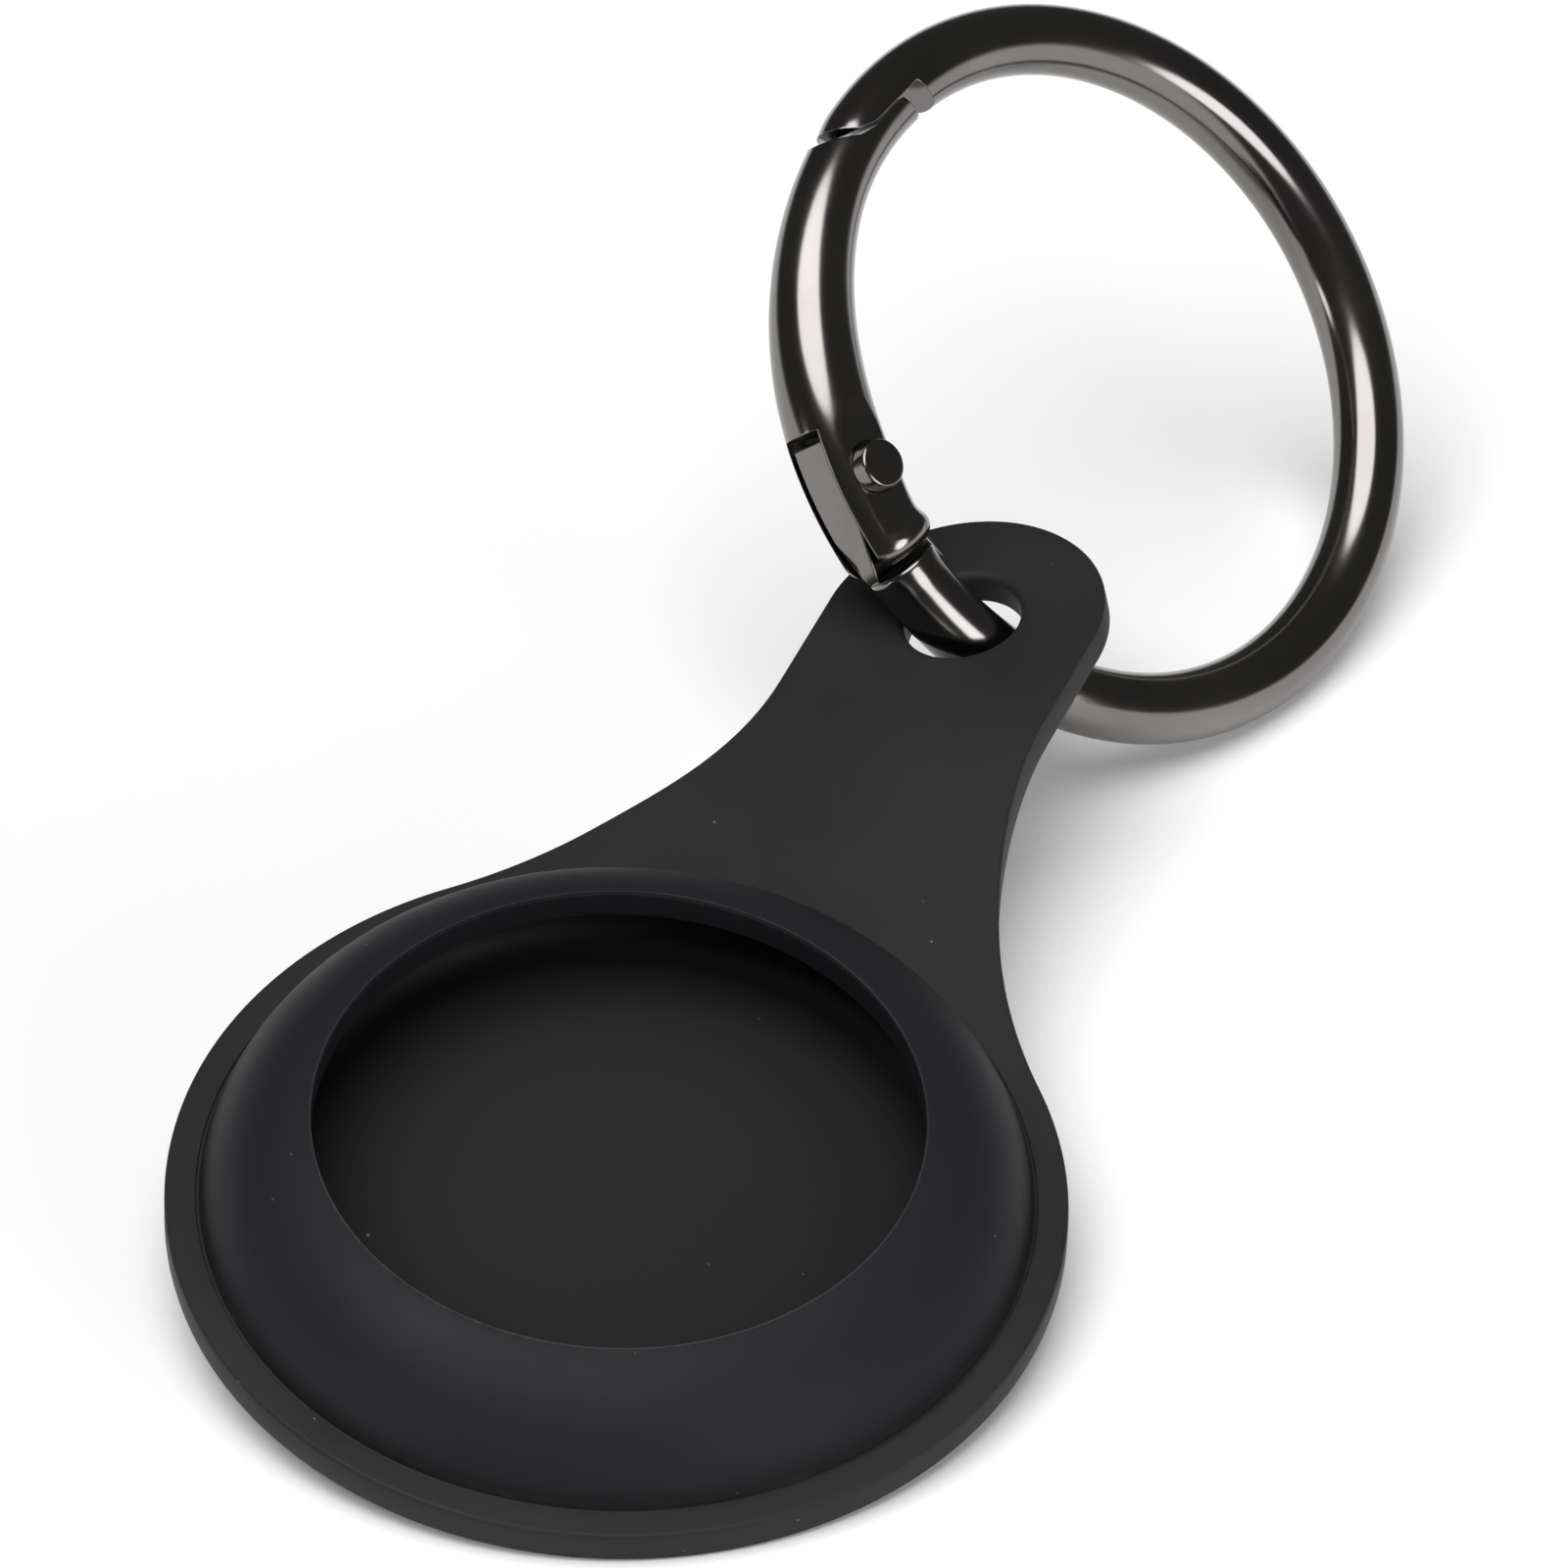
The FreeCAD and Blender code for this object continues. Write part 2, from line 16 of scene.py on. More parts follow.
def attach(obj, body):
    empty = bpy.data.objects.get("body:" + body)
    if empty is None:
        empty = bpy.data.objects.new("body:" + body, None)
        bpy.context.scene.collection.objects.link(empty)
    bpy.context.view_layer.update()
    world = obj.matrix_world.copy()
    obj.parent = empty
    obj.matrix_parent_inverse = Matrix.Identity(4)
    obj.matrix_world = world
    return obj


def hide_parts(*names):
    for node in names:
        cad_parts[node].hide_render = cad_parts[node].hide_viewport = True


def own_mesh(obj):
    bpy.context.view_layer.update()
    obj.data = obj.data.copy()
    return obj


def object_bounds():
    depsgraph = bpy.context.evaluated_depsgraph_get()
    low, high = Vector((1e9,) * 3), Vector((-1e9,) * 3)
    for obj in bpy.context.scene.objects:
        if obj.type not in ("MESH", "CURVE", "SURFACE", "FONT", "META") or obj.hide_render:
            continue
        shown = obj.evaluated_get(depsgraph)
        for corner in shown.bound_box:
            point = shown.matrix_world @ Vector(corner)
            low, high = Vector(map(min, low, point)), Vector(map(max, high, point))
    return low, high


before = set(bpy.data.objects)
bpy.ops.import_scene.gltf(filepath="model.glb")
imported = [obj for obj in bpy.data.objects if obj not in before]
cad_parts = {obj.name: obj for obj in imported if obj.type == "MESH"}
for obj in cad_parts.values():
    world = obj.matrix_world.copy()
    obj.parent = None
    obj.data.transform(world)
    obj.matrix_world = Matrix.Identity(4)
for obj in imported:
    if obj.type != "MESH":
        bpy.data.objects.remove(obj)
CAD_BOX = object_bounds()

LOG = logging.getLogger("tag_holder")
MM = 0.001
UP = Vector((0.0, 0.0, 1.0))
ALONG = Vector((0.0, 1.0, 0.0))
SHARP_ANGLE = math.radians(38.0)
FOLD_ANGLE = 1.0
MERGE_WITHIN = 1e-4
NEAR = 1e-3
FINE_SHARE = 0.35
LEAST_SPECK = 0.35
FAINTEST_SPECK = 0.3
TONE_DRIFT = (0.35, 0.65)
GLOSS_DRIFT = (0.3, 0.7)

Corner = tuple[float, float]
Point = tuple[float, float, float]
Rgba = tuple[float, float, float, float]
Knots = tuple[tuple[float, float], ...]
EdgeTest = Callable[[BMEdge], bool]


class Slot(Enum):
    """Material slots that the record names."""

    SILICONE = "silicone"
    PLATED = "plated_metal"
    SPRING = "spring_steel"


class Merge(Enum):
    """How a closed shape takes in another."""

    JOIN = "UNION"
    CUT = "DIFFERENCE"


def polar(degrees: float, radius: float) -> Corner:
    """Corner at an angle and a radius in the ring's plane."""
    angle = math.radians(degrees)
    return radius * math.cos(angle), radius * math.sin(angle)


def eased(knots: Knots, place: float) -> float:
    """Smooth value at a place between knots.

    Args:
        knots: Places in rising order, each with its value.
        place: Where the value is wanted.

    Returns:
        The value on a smooth curve through the knots, level past the ends.
    """
    if place <= knots[0][0]:
        return knots[0][1]
    for (x0, y0), (x1, y1) in zip(knots, knots[1:]):
        if place <= x1:
            share = (place - x0) / (x1 - x0)
            return y0 + (y1 - y0) * share * share * (3.0 - 2.0 * share)
    return knots[-1][1]


def line_to(bm: BMesh, vert: BMVert, point: Point) -> BMVert:
    """Draw a straight edge on from a vertex.

    Args:
        bm: Mesh under work.
        vert: Vertex that the edge starts from.
        point: Where the edge ends.

    Returns:
        The vertex at the edge's end.
    """
    tip = bmesh.ops.extrude_vert_indiv(bm, verts=[vert])["verts"][0]
    tip.co = point
    return tip


def arc_to(bm: BMesh, vert: BMVert, centre: Point,
           axis: Point, degrees: float, steps: int) -> BMVert:
    """Draw an arc on from a vertex.

    Args:
        bm: Mesh under work.
        vert: Vertex that the arc starts from.
        centre: Centre of the arc.
        axis: Axis that the arc turns about.
        degrees: How far the arc turns.
        steps: Edges along the arc.

    Returns:
        The vertex at the arc's end.
    """
    made = bmesh.ops.spin(bm, geom=[vert], cent=centre, axis=axis, angle=math.radians(degrees), steps=steps)
    return next(item for item in made["geom_last"] if isinstance(item, BMVert))


def settled(bm: BMesh, name: str) -> Mesh:
    """Close a finished bmesh into a mesh whose faces point outwards.

    Args:
        bm: Mesh under work, freed here.
        name: Name of the new mesh.

    Returns:
        The mesh.
    """
    bmesh.ops.remove_doubles(bm, verts=bm.verts[:], dist=MERGE_WITHIN)
    bmesh.ops.recalc_face_normals(bm, faces=bm.faces[:])
    mesh = bpy.data.meshes.new(name)
    bm.to_mesh(mesh)
    bm.free()
    return mesh


def prism(name: str, corners: list[Corner], low: float, high: float) -> Mesh:
    """Upright block over an outline.

    Args:
        name: Name of the mesh.
        corners: The outline, in order.
        low: Height of the underside.
        high: Height of the top.

    Returns:
        The closed block.
    """
    bm = bmesh.new()
    first = vert = bm.verts.new((*corners[0], low))
    for corner in corners[1:]:
        vert = line_to(bm, vert, (*corner, low))
    bm.edges.new((vert, first))
    raise_outline(bm, high - low)
    return settled(bm, name)


def raise_outline(bm: BMesh, height: float) -> None:
    """Fill a closed outline and raise it into a block.

    Args:
        bm: Mesh that holds nothing but the outline.
        height: Height of the block.
    """
    bmesh.ops.contextual_create(bm, geom=bm.edges[:])
    made = bmesh.ops.extrude_face_region(bm, geom=bm.faces[:], use_keep_orig=True)
    raised = [item for item in made["geom"] if isinstance(item, BMVert)]
    bmesh.ops.translate(bm, verts=raised, vec=UP * height)


def stood_circle(bm: BMesh, segments: int, radius: float, centre: Point) -> None:
    """Draw a circle that stands in the XZ plane.

    Args:
        bm: Mesh under work, empty until now.
        segments: Edges round the circle.
        radius: Its radius.
        centre: Its centre.
    """
    bmesh.ops.create_circle(bm, segments=segments, radius=radius)
    bmesh.ops.rotate(bm, verts=bm.verts[:], cent=(0, 0, 0), matrix=Matrix.Rotation(math.pi / 2.0, 3, "X"))
    bmesh.ops.translate(bm, verts=bm.verts[:], vec=centre)


def upright_bar(name: str, segments: int, radius: float, low: float, high: float, place: Matrix) -> Mesh:
    """Round bar along the Z axis of a frame.

    Args:
        name: Name of the mesh.
        segments: Faces round the bar.
        radius: Its radius.
        low: Height of its underside.
        high: Height of its top.
        place: The frame.

    Returns:
        The closed bar.
    """
    bm = bmesh.new()
    bmesh.ops.create_cone(bm, cap_ends=True, segments=segments, radius1=radius, radius2=radius,
                          depth=high - low)
    bmesh.ops.translate(bm, verts=bm.verts[:], vec=UP * (low + high) / 2.0)
    bmesh.ops.transform(bm, verts=bm.verts[:], matrix=place)
    return settled(bm, name)


def turned(bm: BMesh, name: str, steps: int) -> Mesh:
    """Turn a profile in the XZ plane right round the Z axis.

    Args:
        bm: Mesh that holds nothing but the profile.
        name: Name of the mesh.
        steps: Faces round the axis.

    Returns:
        The closed turned shape.
    """
    bmesh.ops.spin(bm, geom=bm.verts[:] + bm.edges[:], cent=(0, 0, 0), axis=UP, angle=math.tau, steps=steps,
                   use_merge=True)
    return settled(bm, name)


def shown(name: str, data: bpy.types.ID) -> Object:
    """Put a mesh, lamp or camera into the scene.

    Args:
        name: Name of the new object.
        data: What it shows.

    Returns:
        The object.
    """
    made = bpy.data.objects.new(name, data)
    bpy.context.scene.collection.objects.link(made)
    return made


def merged(shape: Mesh, tool: Mesh, how: Merge) -> Mesh:
    """Join a closed shape to another, or cut it.

    Args:
        shape: Shape that is worked on, used up here.
        tool: Shape that is joined on or cut away, used up here.
        how: Which of the two.

    Returns:
        The new closed shape.
    """
    objects = [shown(mesh.name, mesh) for mesh in (shape, tool)]
    change = objects[0].modifiers.new("merge", "BOOLEAN")
    change.object = objects[1]
    change.operation = how.value
    change.solver = "EXACT"
    depsgraph = bpy.context.evaluated_depsgraph_get()
    result = bpy.data.meshes.new_from_object(objects[0].evaluated_get(depsgraph))
    for item in objects:
        bpy.data.objects.remove(item)
    for mesh in (shape, tool):
        bpy.data.meshes.remove(mesh)
    return result


def rounded(mesh: Mesh, picks: EdgeTest, radius: float, segments: int) -> Mesh:
    """Round the edges of a mesh that a test picks out.

    Args:
        mesh: Mesh to round, changed in place.
        picks: Test that takes an edge and says whether it is rounded.
        radius: Width of the rounding.
        segments: Faces across the rounding.

    Returns:
        The same mesh.
    """
    bm = bmesh.new()
    bm.from_mesh(mesh)
    edges = [edge for edge in bm.edges if len(edge.link_faces) == 2 and picks(edge)]
    bmesh.ops.bevel(bm, geom=edges, offset=radius, offset_type="OFFSET", segments=segments, profile=0.5,
                    affect="EDGES", material=-1, clamp_overlap=True)
    bm.to_mesh(mesh)
    bm.free()
    return mesh


def piece(mesh: Mesh, name: str, place: Matrix, body: str, slot: Slot,
          material: Material, *nodes: str) -> Object:
    """Put a finished mesh in place as a piece of the object.

    Args:
        mesh: Mesh in millimetres, in its own frame.
        name: Name of the piece.
        place: Where its own frame lies.
        body: Body that it rides on.
        slot: Material slot of the record; not used.
        material: Its finish.
        nodes: Solids that it stands for.

    Returns:
        The piece.
    """
    mesh.transform(place)
    mesh.shade_smooth()
    mesh.set_sharp_from_angle(angle=SHARP_ANGLE)
    mesh.materials.clear()
    mesh.materials.append(material)
    mesh.name = name
    made = shown(name, mesh)
    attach(made, body)
    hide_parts(*nodes)
    LOG.info("%s: %d faces on body %s", name, len(mesh.polygons), body)
    return made


class NodeBench:
    """Short hands for wiring one node tree."""

    def __init__(self, tree: NodeTree) -> None:
        """Work on this tree."""
        self.tree = tree

    def add(self, kind: str, inputs: dict | None = None, **settings) -> Node:
        """Add a node.

        Args:
            kind: Type of the node.
            inputs: Values or output sockets for its inputs, by name or number.
            settings: The node's own properties.

        Returns:
            The node.
        """
        node = self.tree.nodes.new(kind)
        for key, setting in settings.items():
            setattr(node, key, setting)
        self.fill(node, inputs or {})
        return node

    def fill(self, node: Node, inputs: dict) -> None:
        """Give a node its inputs.

        Args:
            node: The node.
            inputs: Values or output sockets for its inputs, by name or number.
        """
        for key, given in inputs.items():
            if isinstance(given, NodeSocket):
                self.tree.links.new(given, node.inputs[key])
            else:
                node.inputs[key].default_value = given

    def math(self, operation: str, first, second=0.0, clamp: bool = False) -> NodeSocket:
        """Arithmetic on two values.

        Args:
            operation: Blender's name of the operation.
            first: Value or socket.
            second: Value or socket.
            clamp: Whether the result stays between 0 and 1.

        Returns:
            The result's socket.
        """
        node = self.add("ShaderNodeMath", {0: first, 1: second}, operation=operation, use_clamp=clamp)
        return node.outputs[0]

    def ramp(self, given, low: float, high: float, start: float, finish: float,
             smooth: bool = True) -> NodeSocket:
        """Value carried from one range to another.

        Args:
            given: Socket of the value.
            low: Where the range starts.
            high: Where the range ends.
            start: Result at low.
            finish: Result at high.
            smooth: Whether the change eases in and out.

        Returns:
            The result's socket.
        """
        ranges = {"Value": given, "From Min": low, "From Max": high, "To Min": start, "To Max": finish}
        kind = "SMOOTHSTEP" if smooth else "LINEAR"
        return self.add("ShaderNodeMapRange", ranges, interpolation_type=kind).outputs["Result"]

    def mix(self, share, first, second) -> NodeSocket:
        """Blend of two colours.

        Args:
            share: How much of the second, as a value or socket.
            first: Colour or socket.
            second: Colour or socket.

        Returns:
            The colour's socket.
        """
        node = self.add("ShaderNodeMix", {"Factor": share, 6: first, 7: second}, data_type="RGBA")
        return node.outputs[2]


def new_group(name: str, inputs: dict[str, float]) -> tuple[NodeBench, Node]:
    """Empty shader group with a place and named values as inputs.

    Args:
        name: Name of the group.
        inputs: Names of the values, with their defaults.

    Returns:
        A bench on the group and its input node.
    """
    tree = bpy.data.node_groups.new(name, "ShaderNodeTree")
    tree.interface.new_socket("Place", in_out="INPUT", socket_type="NodeSocketVector")
    for key, default in inputs.items():
        socket = tree.interface.new_socket(key, in_out="INPUT", socket_type="NodeSocketFloat")
        socket.default_value = default
    bench = NodeBench(tree)
    return bench, bench.add("NodeGroupInput")


def put_out(bench: NodeBench, outputs: dict[str, NodeSocket]) -> NodeTree:
    """Give a shader group its outputs.

    Args:
        bench: Bench on the group.
        outputs: Names of the outputs, with the sockets that feed them.

    Returns:
        The group.
    """
    for key in outputs:
        bench.tree.interface.new_socket(key, in_out="OUTPUT", socket_type="NodeSocketFloat")
    bench.add("NodeGroupOutput", outputs)
    return bench.tree


def grain_group() -> NodeTree:
    """Fine uneven surface: a height for bump and a slow drift for tone and gloss.

    Returns:
        The group, with Height and Drift as outputs.
    """
    bench, given = new_group("surface grain", {"Fine": 2400.0, "Coarse": 260.0, "Drift": 70.0})
    noise = {}
    for key, look in (("Fine", {"Detail": 3.0, "Roughness": 0.6}), ("Coarse", {"Detail": 2.0}),
                      ("Drift", {"Detail": 4.0, "Roughness": 0.55})):
        inputs = {"Vector": given.outputs["Place"], "Scale": given.outputs[key], **look}
        noise[key] = bench.add("ShaderNodeTexNoise", inputs).outputs[0]
    height = bench.math("ADD", bench.math("MULTIPLY", noise["Fine"], FINE_SHARE), noise["Coarse"])
    return put_out(bench, {"Height": height, "Drift": noise["Drift"]})


def specks_group() -> NodeTree:
    """Scattered pin-point specks of dust or pitting.

    Returns:
        The group, with Mask as its output.
    """
    bench, given = new_group("specks", {"Scale": 420.0, "Size": 0.06, "Share": 0.25})
    spread = {"Vector": given.outputs["Place"], "Scale": given.outputs["Scale"], "Randomness": 1.0}
    cells = bench.add("ShaderNodeTexVoronoi", spread)
    chosen = bench.add("ShaderNodeSeparateColor", {"Color": cells.outputs["Color"]})
    size = bench.math("MULTIPLY", given.outputs["Size"], bench.math("ADD", chosen.outputs[1], LEAST_SPECK))
    dot = bench.math("LESS_THAN", cells.outputs["Distance"], size)
    kept = bench.math("LESS_THAN", chosen.outputs[0], given.outputs["Share"])
    tone = bench.ramp(chosen.outputs[2], 0.0, 1.0, FAINTEST_SPECK, 1.0, False)
    mask = bench.math("MULTIPLY", bench.math("MULTIPLY", dot, kept), tone)
    return put_out(bench, {"Mask": mask})


class Effects:
    """The shader groups that several finishes share, built once."""

    def __init__(self) -> None:
        """Build the groups."""
        self.grain = grain_group()
        self.specks = specks_group()

    def place(self, bench: NodeBench, tree: NodeTree, inputs: dict) -> Node:
        """Put a group into a material on the piece's own coordinates.

        Args:
            bench: Bench on the material.
            tree: The group.
            inputs: Values for the group's inputs.

        Returns:
            The group's node.
        """
        where = bench.add("ShaderNodeTexCoord").outputs["Object"]
        return bench.add("ShaderNodeGroup", {"Place": where, **inputs}, node_tree=tree)


def blank_material(name: str) -> tuple[Material, NodeBench, Node]:
    """Material with nothing but a surface shader.

    Args:
        name: Name of the material.

    Returns:
        The material, a bench on it and its surface shader.
    """
    material = bpy.data.materials.new(name)
    material.use_nodes = True
    bench = NodeBench(material.node_tree)
    return material, bench, material.node_tree.nodes["Principled BSDF"]


@dataclass(frozen=True)
class SiliconeFinish:
    """Soft black moulded silicone, satin, with a little dust on it, painted light and shade on the dome and a
    painted shade in the tag pocket. Metres, on the holder as moulded.
    """

    deep: Rgba = (0.0205, 0.0205, 0.0208, 1.0)
    worn: Rgba = (0.0262, 0.0262, 0.026, 1.0)
    dome_shaded_foot: Rgba = (0.0115, 0.0115, 0.0135, 1.0)
    dome_lit_top: Rgba = (0.0155, 0.0155, 0.0195, 1.0)
    pocket_shade_centre: Rgba = (0.0185, 0.0185, 0.0185, 1.0)
    pocket_shade_wall: Rgba = (0.0085, 0.0085, 0.0088, 1.0)
    dust: Rgba = (0.16, 0.16, 0.155, 1.0)
    foot_low: float = 0.00165
    foot_high: float = 0.0021
    dome_radius: float = 0.0186
    dome_low: float = 0.002
    dome_high: float = 0.0064
    lip_underside: float = 0.00517
    pocket_radius: float = 0.0163
    rim_wear: Rgba = (0.05, 0.05, 0.05, 1.0)
    rim_radius: float = 0.01357
    rim_width: float = 0.00006
    rim_low: float = 0.0064
    pocket_shade_start: float = 0.0055
    pocket_shade_full: float = 0.0145
    gloss_low: float = 0.5
    gloss_high: float = 0.62
    specular: float = 0.18
    grain: float = 0.12
    grain_depth: float = 0.00004

    def material(self, effects: Effects, lie: Matrix) -> Material:
        """Build the material.

        Args:
            effects: Shared shader groups.
            lie: How the holder lies, which places the painted light and shade of the dome and the painted
                shade in the pocket.

        Returns:
            The material.
        """
        material, bench, shader = blank_material("moulded silicone")
        grain = effects.place(bench, effects.grain, {"Fine": 5200.0, "Coarse": 900.0, "Drift": 55.0})
        dust = effects.place(bench, effects.specks, {"Scale": 760.0, "Size": 0.05, "Share": 0.26})
        where = bench.add("ShaderNodeTexCoord").outputs["Object"]
        upright = lie.to_3x3().inverted().to_euler()
        level = bench.add("ShaderNodeMapping", {"Vector": where, "Rotation": upright})
        split = bench.add("ShaderNodeSeparateXYZ", {"Vector": level.outputs[0]}).outputs
        flat = bench.add("ShaderNodeCombineXYZ", {"X": split["X"], "Y": split["Y"]})
        across = bench.add("ShaderNodeVectorMath", {0: flat.outputs[0]}, operation="LENGTH").outputs["Value"]
        tone = bench.mix(bench.ramp(grain.outputs["Drift"], *TONE_DRIFT, 0.0, 1.0), self.deep, self.worn)
        # Painted light and shade: the dome runs from a darker foot to a lighter, bluer top, standing in for
        # how the lamps and reflections fall on it.
        dome_lit_share = bench.ramp(split["Z"], self.dome_low, self.dome_high, 0.0, 1.0, False)
        dome = bench.mix(dome_lit_share, self.dome_shaded_foot, self.dome_lit_top)
        raised = bench.math("MULTIPLY", bench.math("LESS_THAN", across, self.dome_radius),
                            bench.ramp(split["Z"], self.foot_low, self.foot_high, 0.0, 1.0))
        tone = bench.mix(raised, tone, dome)
        # Painted shade: inside the pocket the silicone is darkened, most towards the walls under the lip,
        # standing in for the shade that the lip and walls cast there.
        outward = bench.ramp(across, self.pocket_shade_start, self.pocket_shade_full, 0.0, 1.0)
        pocket = bench.mix(outward, self.pocket_shade_centre, self.pocket_shade_wall)
        inside = bench.math("MULTIPLY", bench.math("LESS_THAN", across, self.pocket_radius),
                            bench.math("LESS_THAN", split["Z"], self.lip_underside))
        inside = bench.math("MULTIPLY", inside, bench.math("GREATER_THAN", split["Z"], self.foot_low / 2.0))
        tone = bench.mix(inside, tone, pocket)
        rim = bench.math("ABSOLUTE", bench.math("SUBTRACT", across, self.rim_radius))
        rim = bench.math("LESS_THAN", rim, self.rim_width)
        rim = bench.math("MULTIPLY", rim, bench.math("GREATER_THAN", split["Z"], self.rim_low))
        tone = bench.mix(bench.math("MULTIPLY", rim, grain.outputs["Drift"]), tone, self.rim_wear)
        relief = {"Height": grain.outputs["Height"], "Strength": self.grain, "Distance": self.grain_depth}
        bench.fill(shader, {
            "Base Color": bench.mix(dust.outputs["Mask"], tone, self.dust),
            "Roughness": bench.ramp(grain.outputs["Drift"], *GLOSS_DRIFT, self.gloss_low, self.gloss_high),
            "Normal": bench.add("ShaderNodeBump", relief).outputs[0],
            "Specular IOR Level": self.specular,
        })
        return material


@dataclass(frozen=True)
class PlatedFinish:
    """Polished dark plating over a casting, with fine handling marks."""

    name: str = "dark plating"
    bright: Rgba = (0.23, 0.22, 0.21, 1.0)
    dark: Rgba = (0.198, 0.189, 0.18, 1.0)
    gloss_low: float = 0.14
    gloss_high: float = 0.19
    wave: float = 0.05
    wave_depth: float = 0.00005
    pit_gloss: float = 0.12
    edge: float = 0.00012
    edge_samples: int = 12

    def material(self, effects: Effects) -> Material:
        """Build the material.

        Args:
            effects: Shared shader groups.

        Returns:
            The material.
        """
        material, bench, shader = blank_material(self.name)
        grain = effects.place(bench, effects.grain, {"Fine": 3800.0, "Coarse": 300.0, "Drift": 120.0})
        pits = effects.place(bench, effects.specks, {"Scale": 900.0, "Size": 0.05, "Share": 0.05})
        tone = bench.mix(bench.ramp(grain.outputs["Drift"], *TONE_DRIFT, 0.0, 1.0), self.dark, self.bright)
        gloss = bench.ramp(grain.outputs["Drift"], *GLOSS_DRIFT, self.gloss_low, self.gloss_high)
        pitted = bench.math("MULTIPLY", pits.outputs["Mask"], self.pit_gloss)
        edges = bench.add("ShaderNodeBevel", {"Radius": self.edge}, samples=self.edge_samples)
        relief = {"Height": grain.outputs["Height"], "Strength": self.wave, "Distance": self.wave_depth}
        bench.fill(shader, {
            "Base Color": tone,
            "Roughness": bench.math("ADD", gloss, pitted, clamp=True),
            "Normal": bench.add("ShaderNodeBump", {**relief, "Normal": edges.outputs[0]}).outputs[0],
            "Metallic": 1.0,
        })
        return material


@dataclass(frozen=True)
class FloorFinish:
    """Plain white table that keeps the object's shadow."""

    white: Rgba = (0.95, 0.95, 0.95, 1.0)
    glow: Rgba = (1.0, 1.0, 1.0, 1.0)
    lift: float = 0.13
    rough: float = 0.9

    def material(self) -> Material:
        """Build the material.

        Returns:
            The material.
        """
        material, bench, shader = blank_material("white table")
        path = bench.add("ShaderNodeLightPath").outputs
        seen = bench.math("ADD", path["Is Camera Ray"], path["Is Glossy Ray"], clamp=True)
        seen = bench.math("ADD", seen, path["Is Transmission Ray"], clamp=True)
        bench.fill(shader, {
            "Base Color": self.white,
            "Roughness": self.rough,
            "Specular IOR Level": 0.0,
            "Emission Color": self.glow,
            "Emission Strength": bench.math("MULTIPLY", seen, self.lift),
        })
        return material


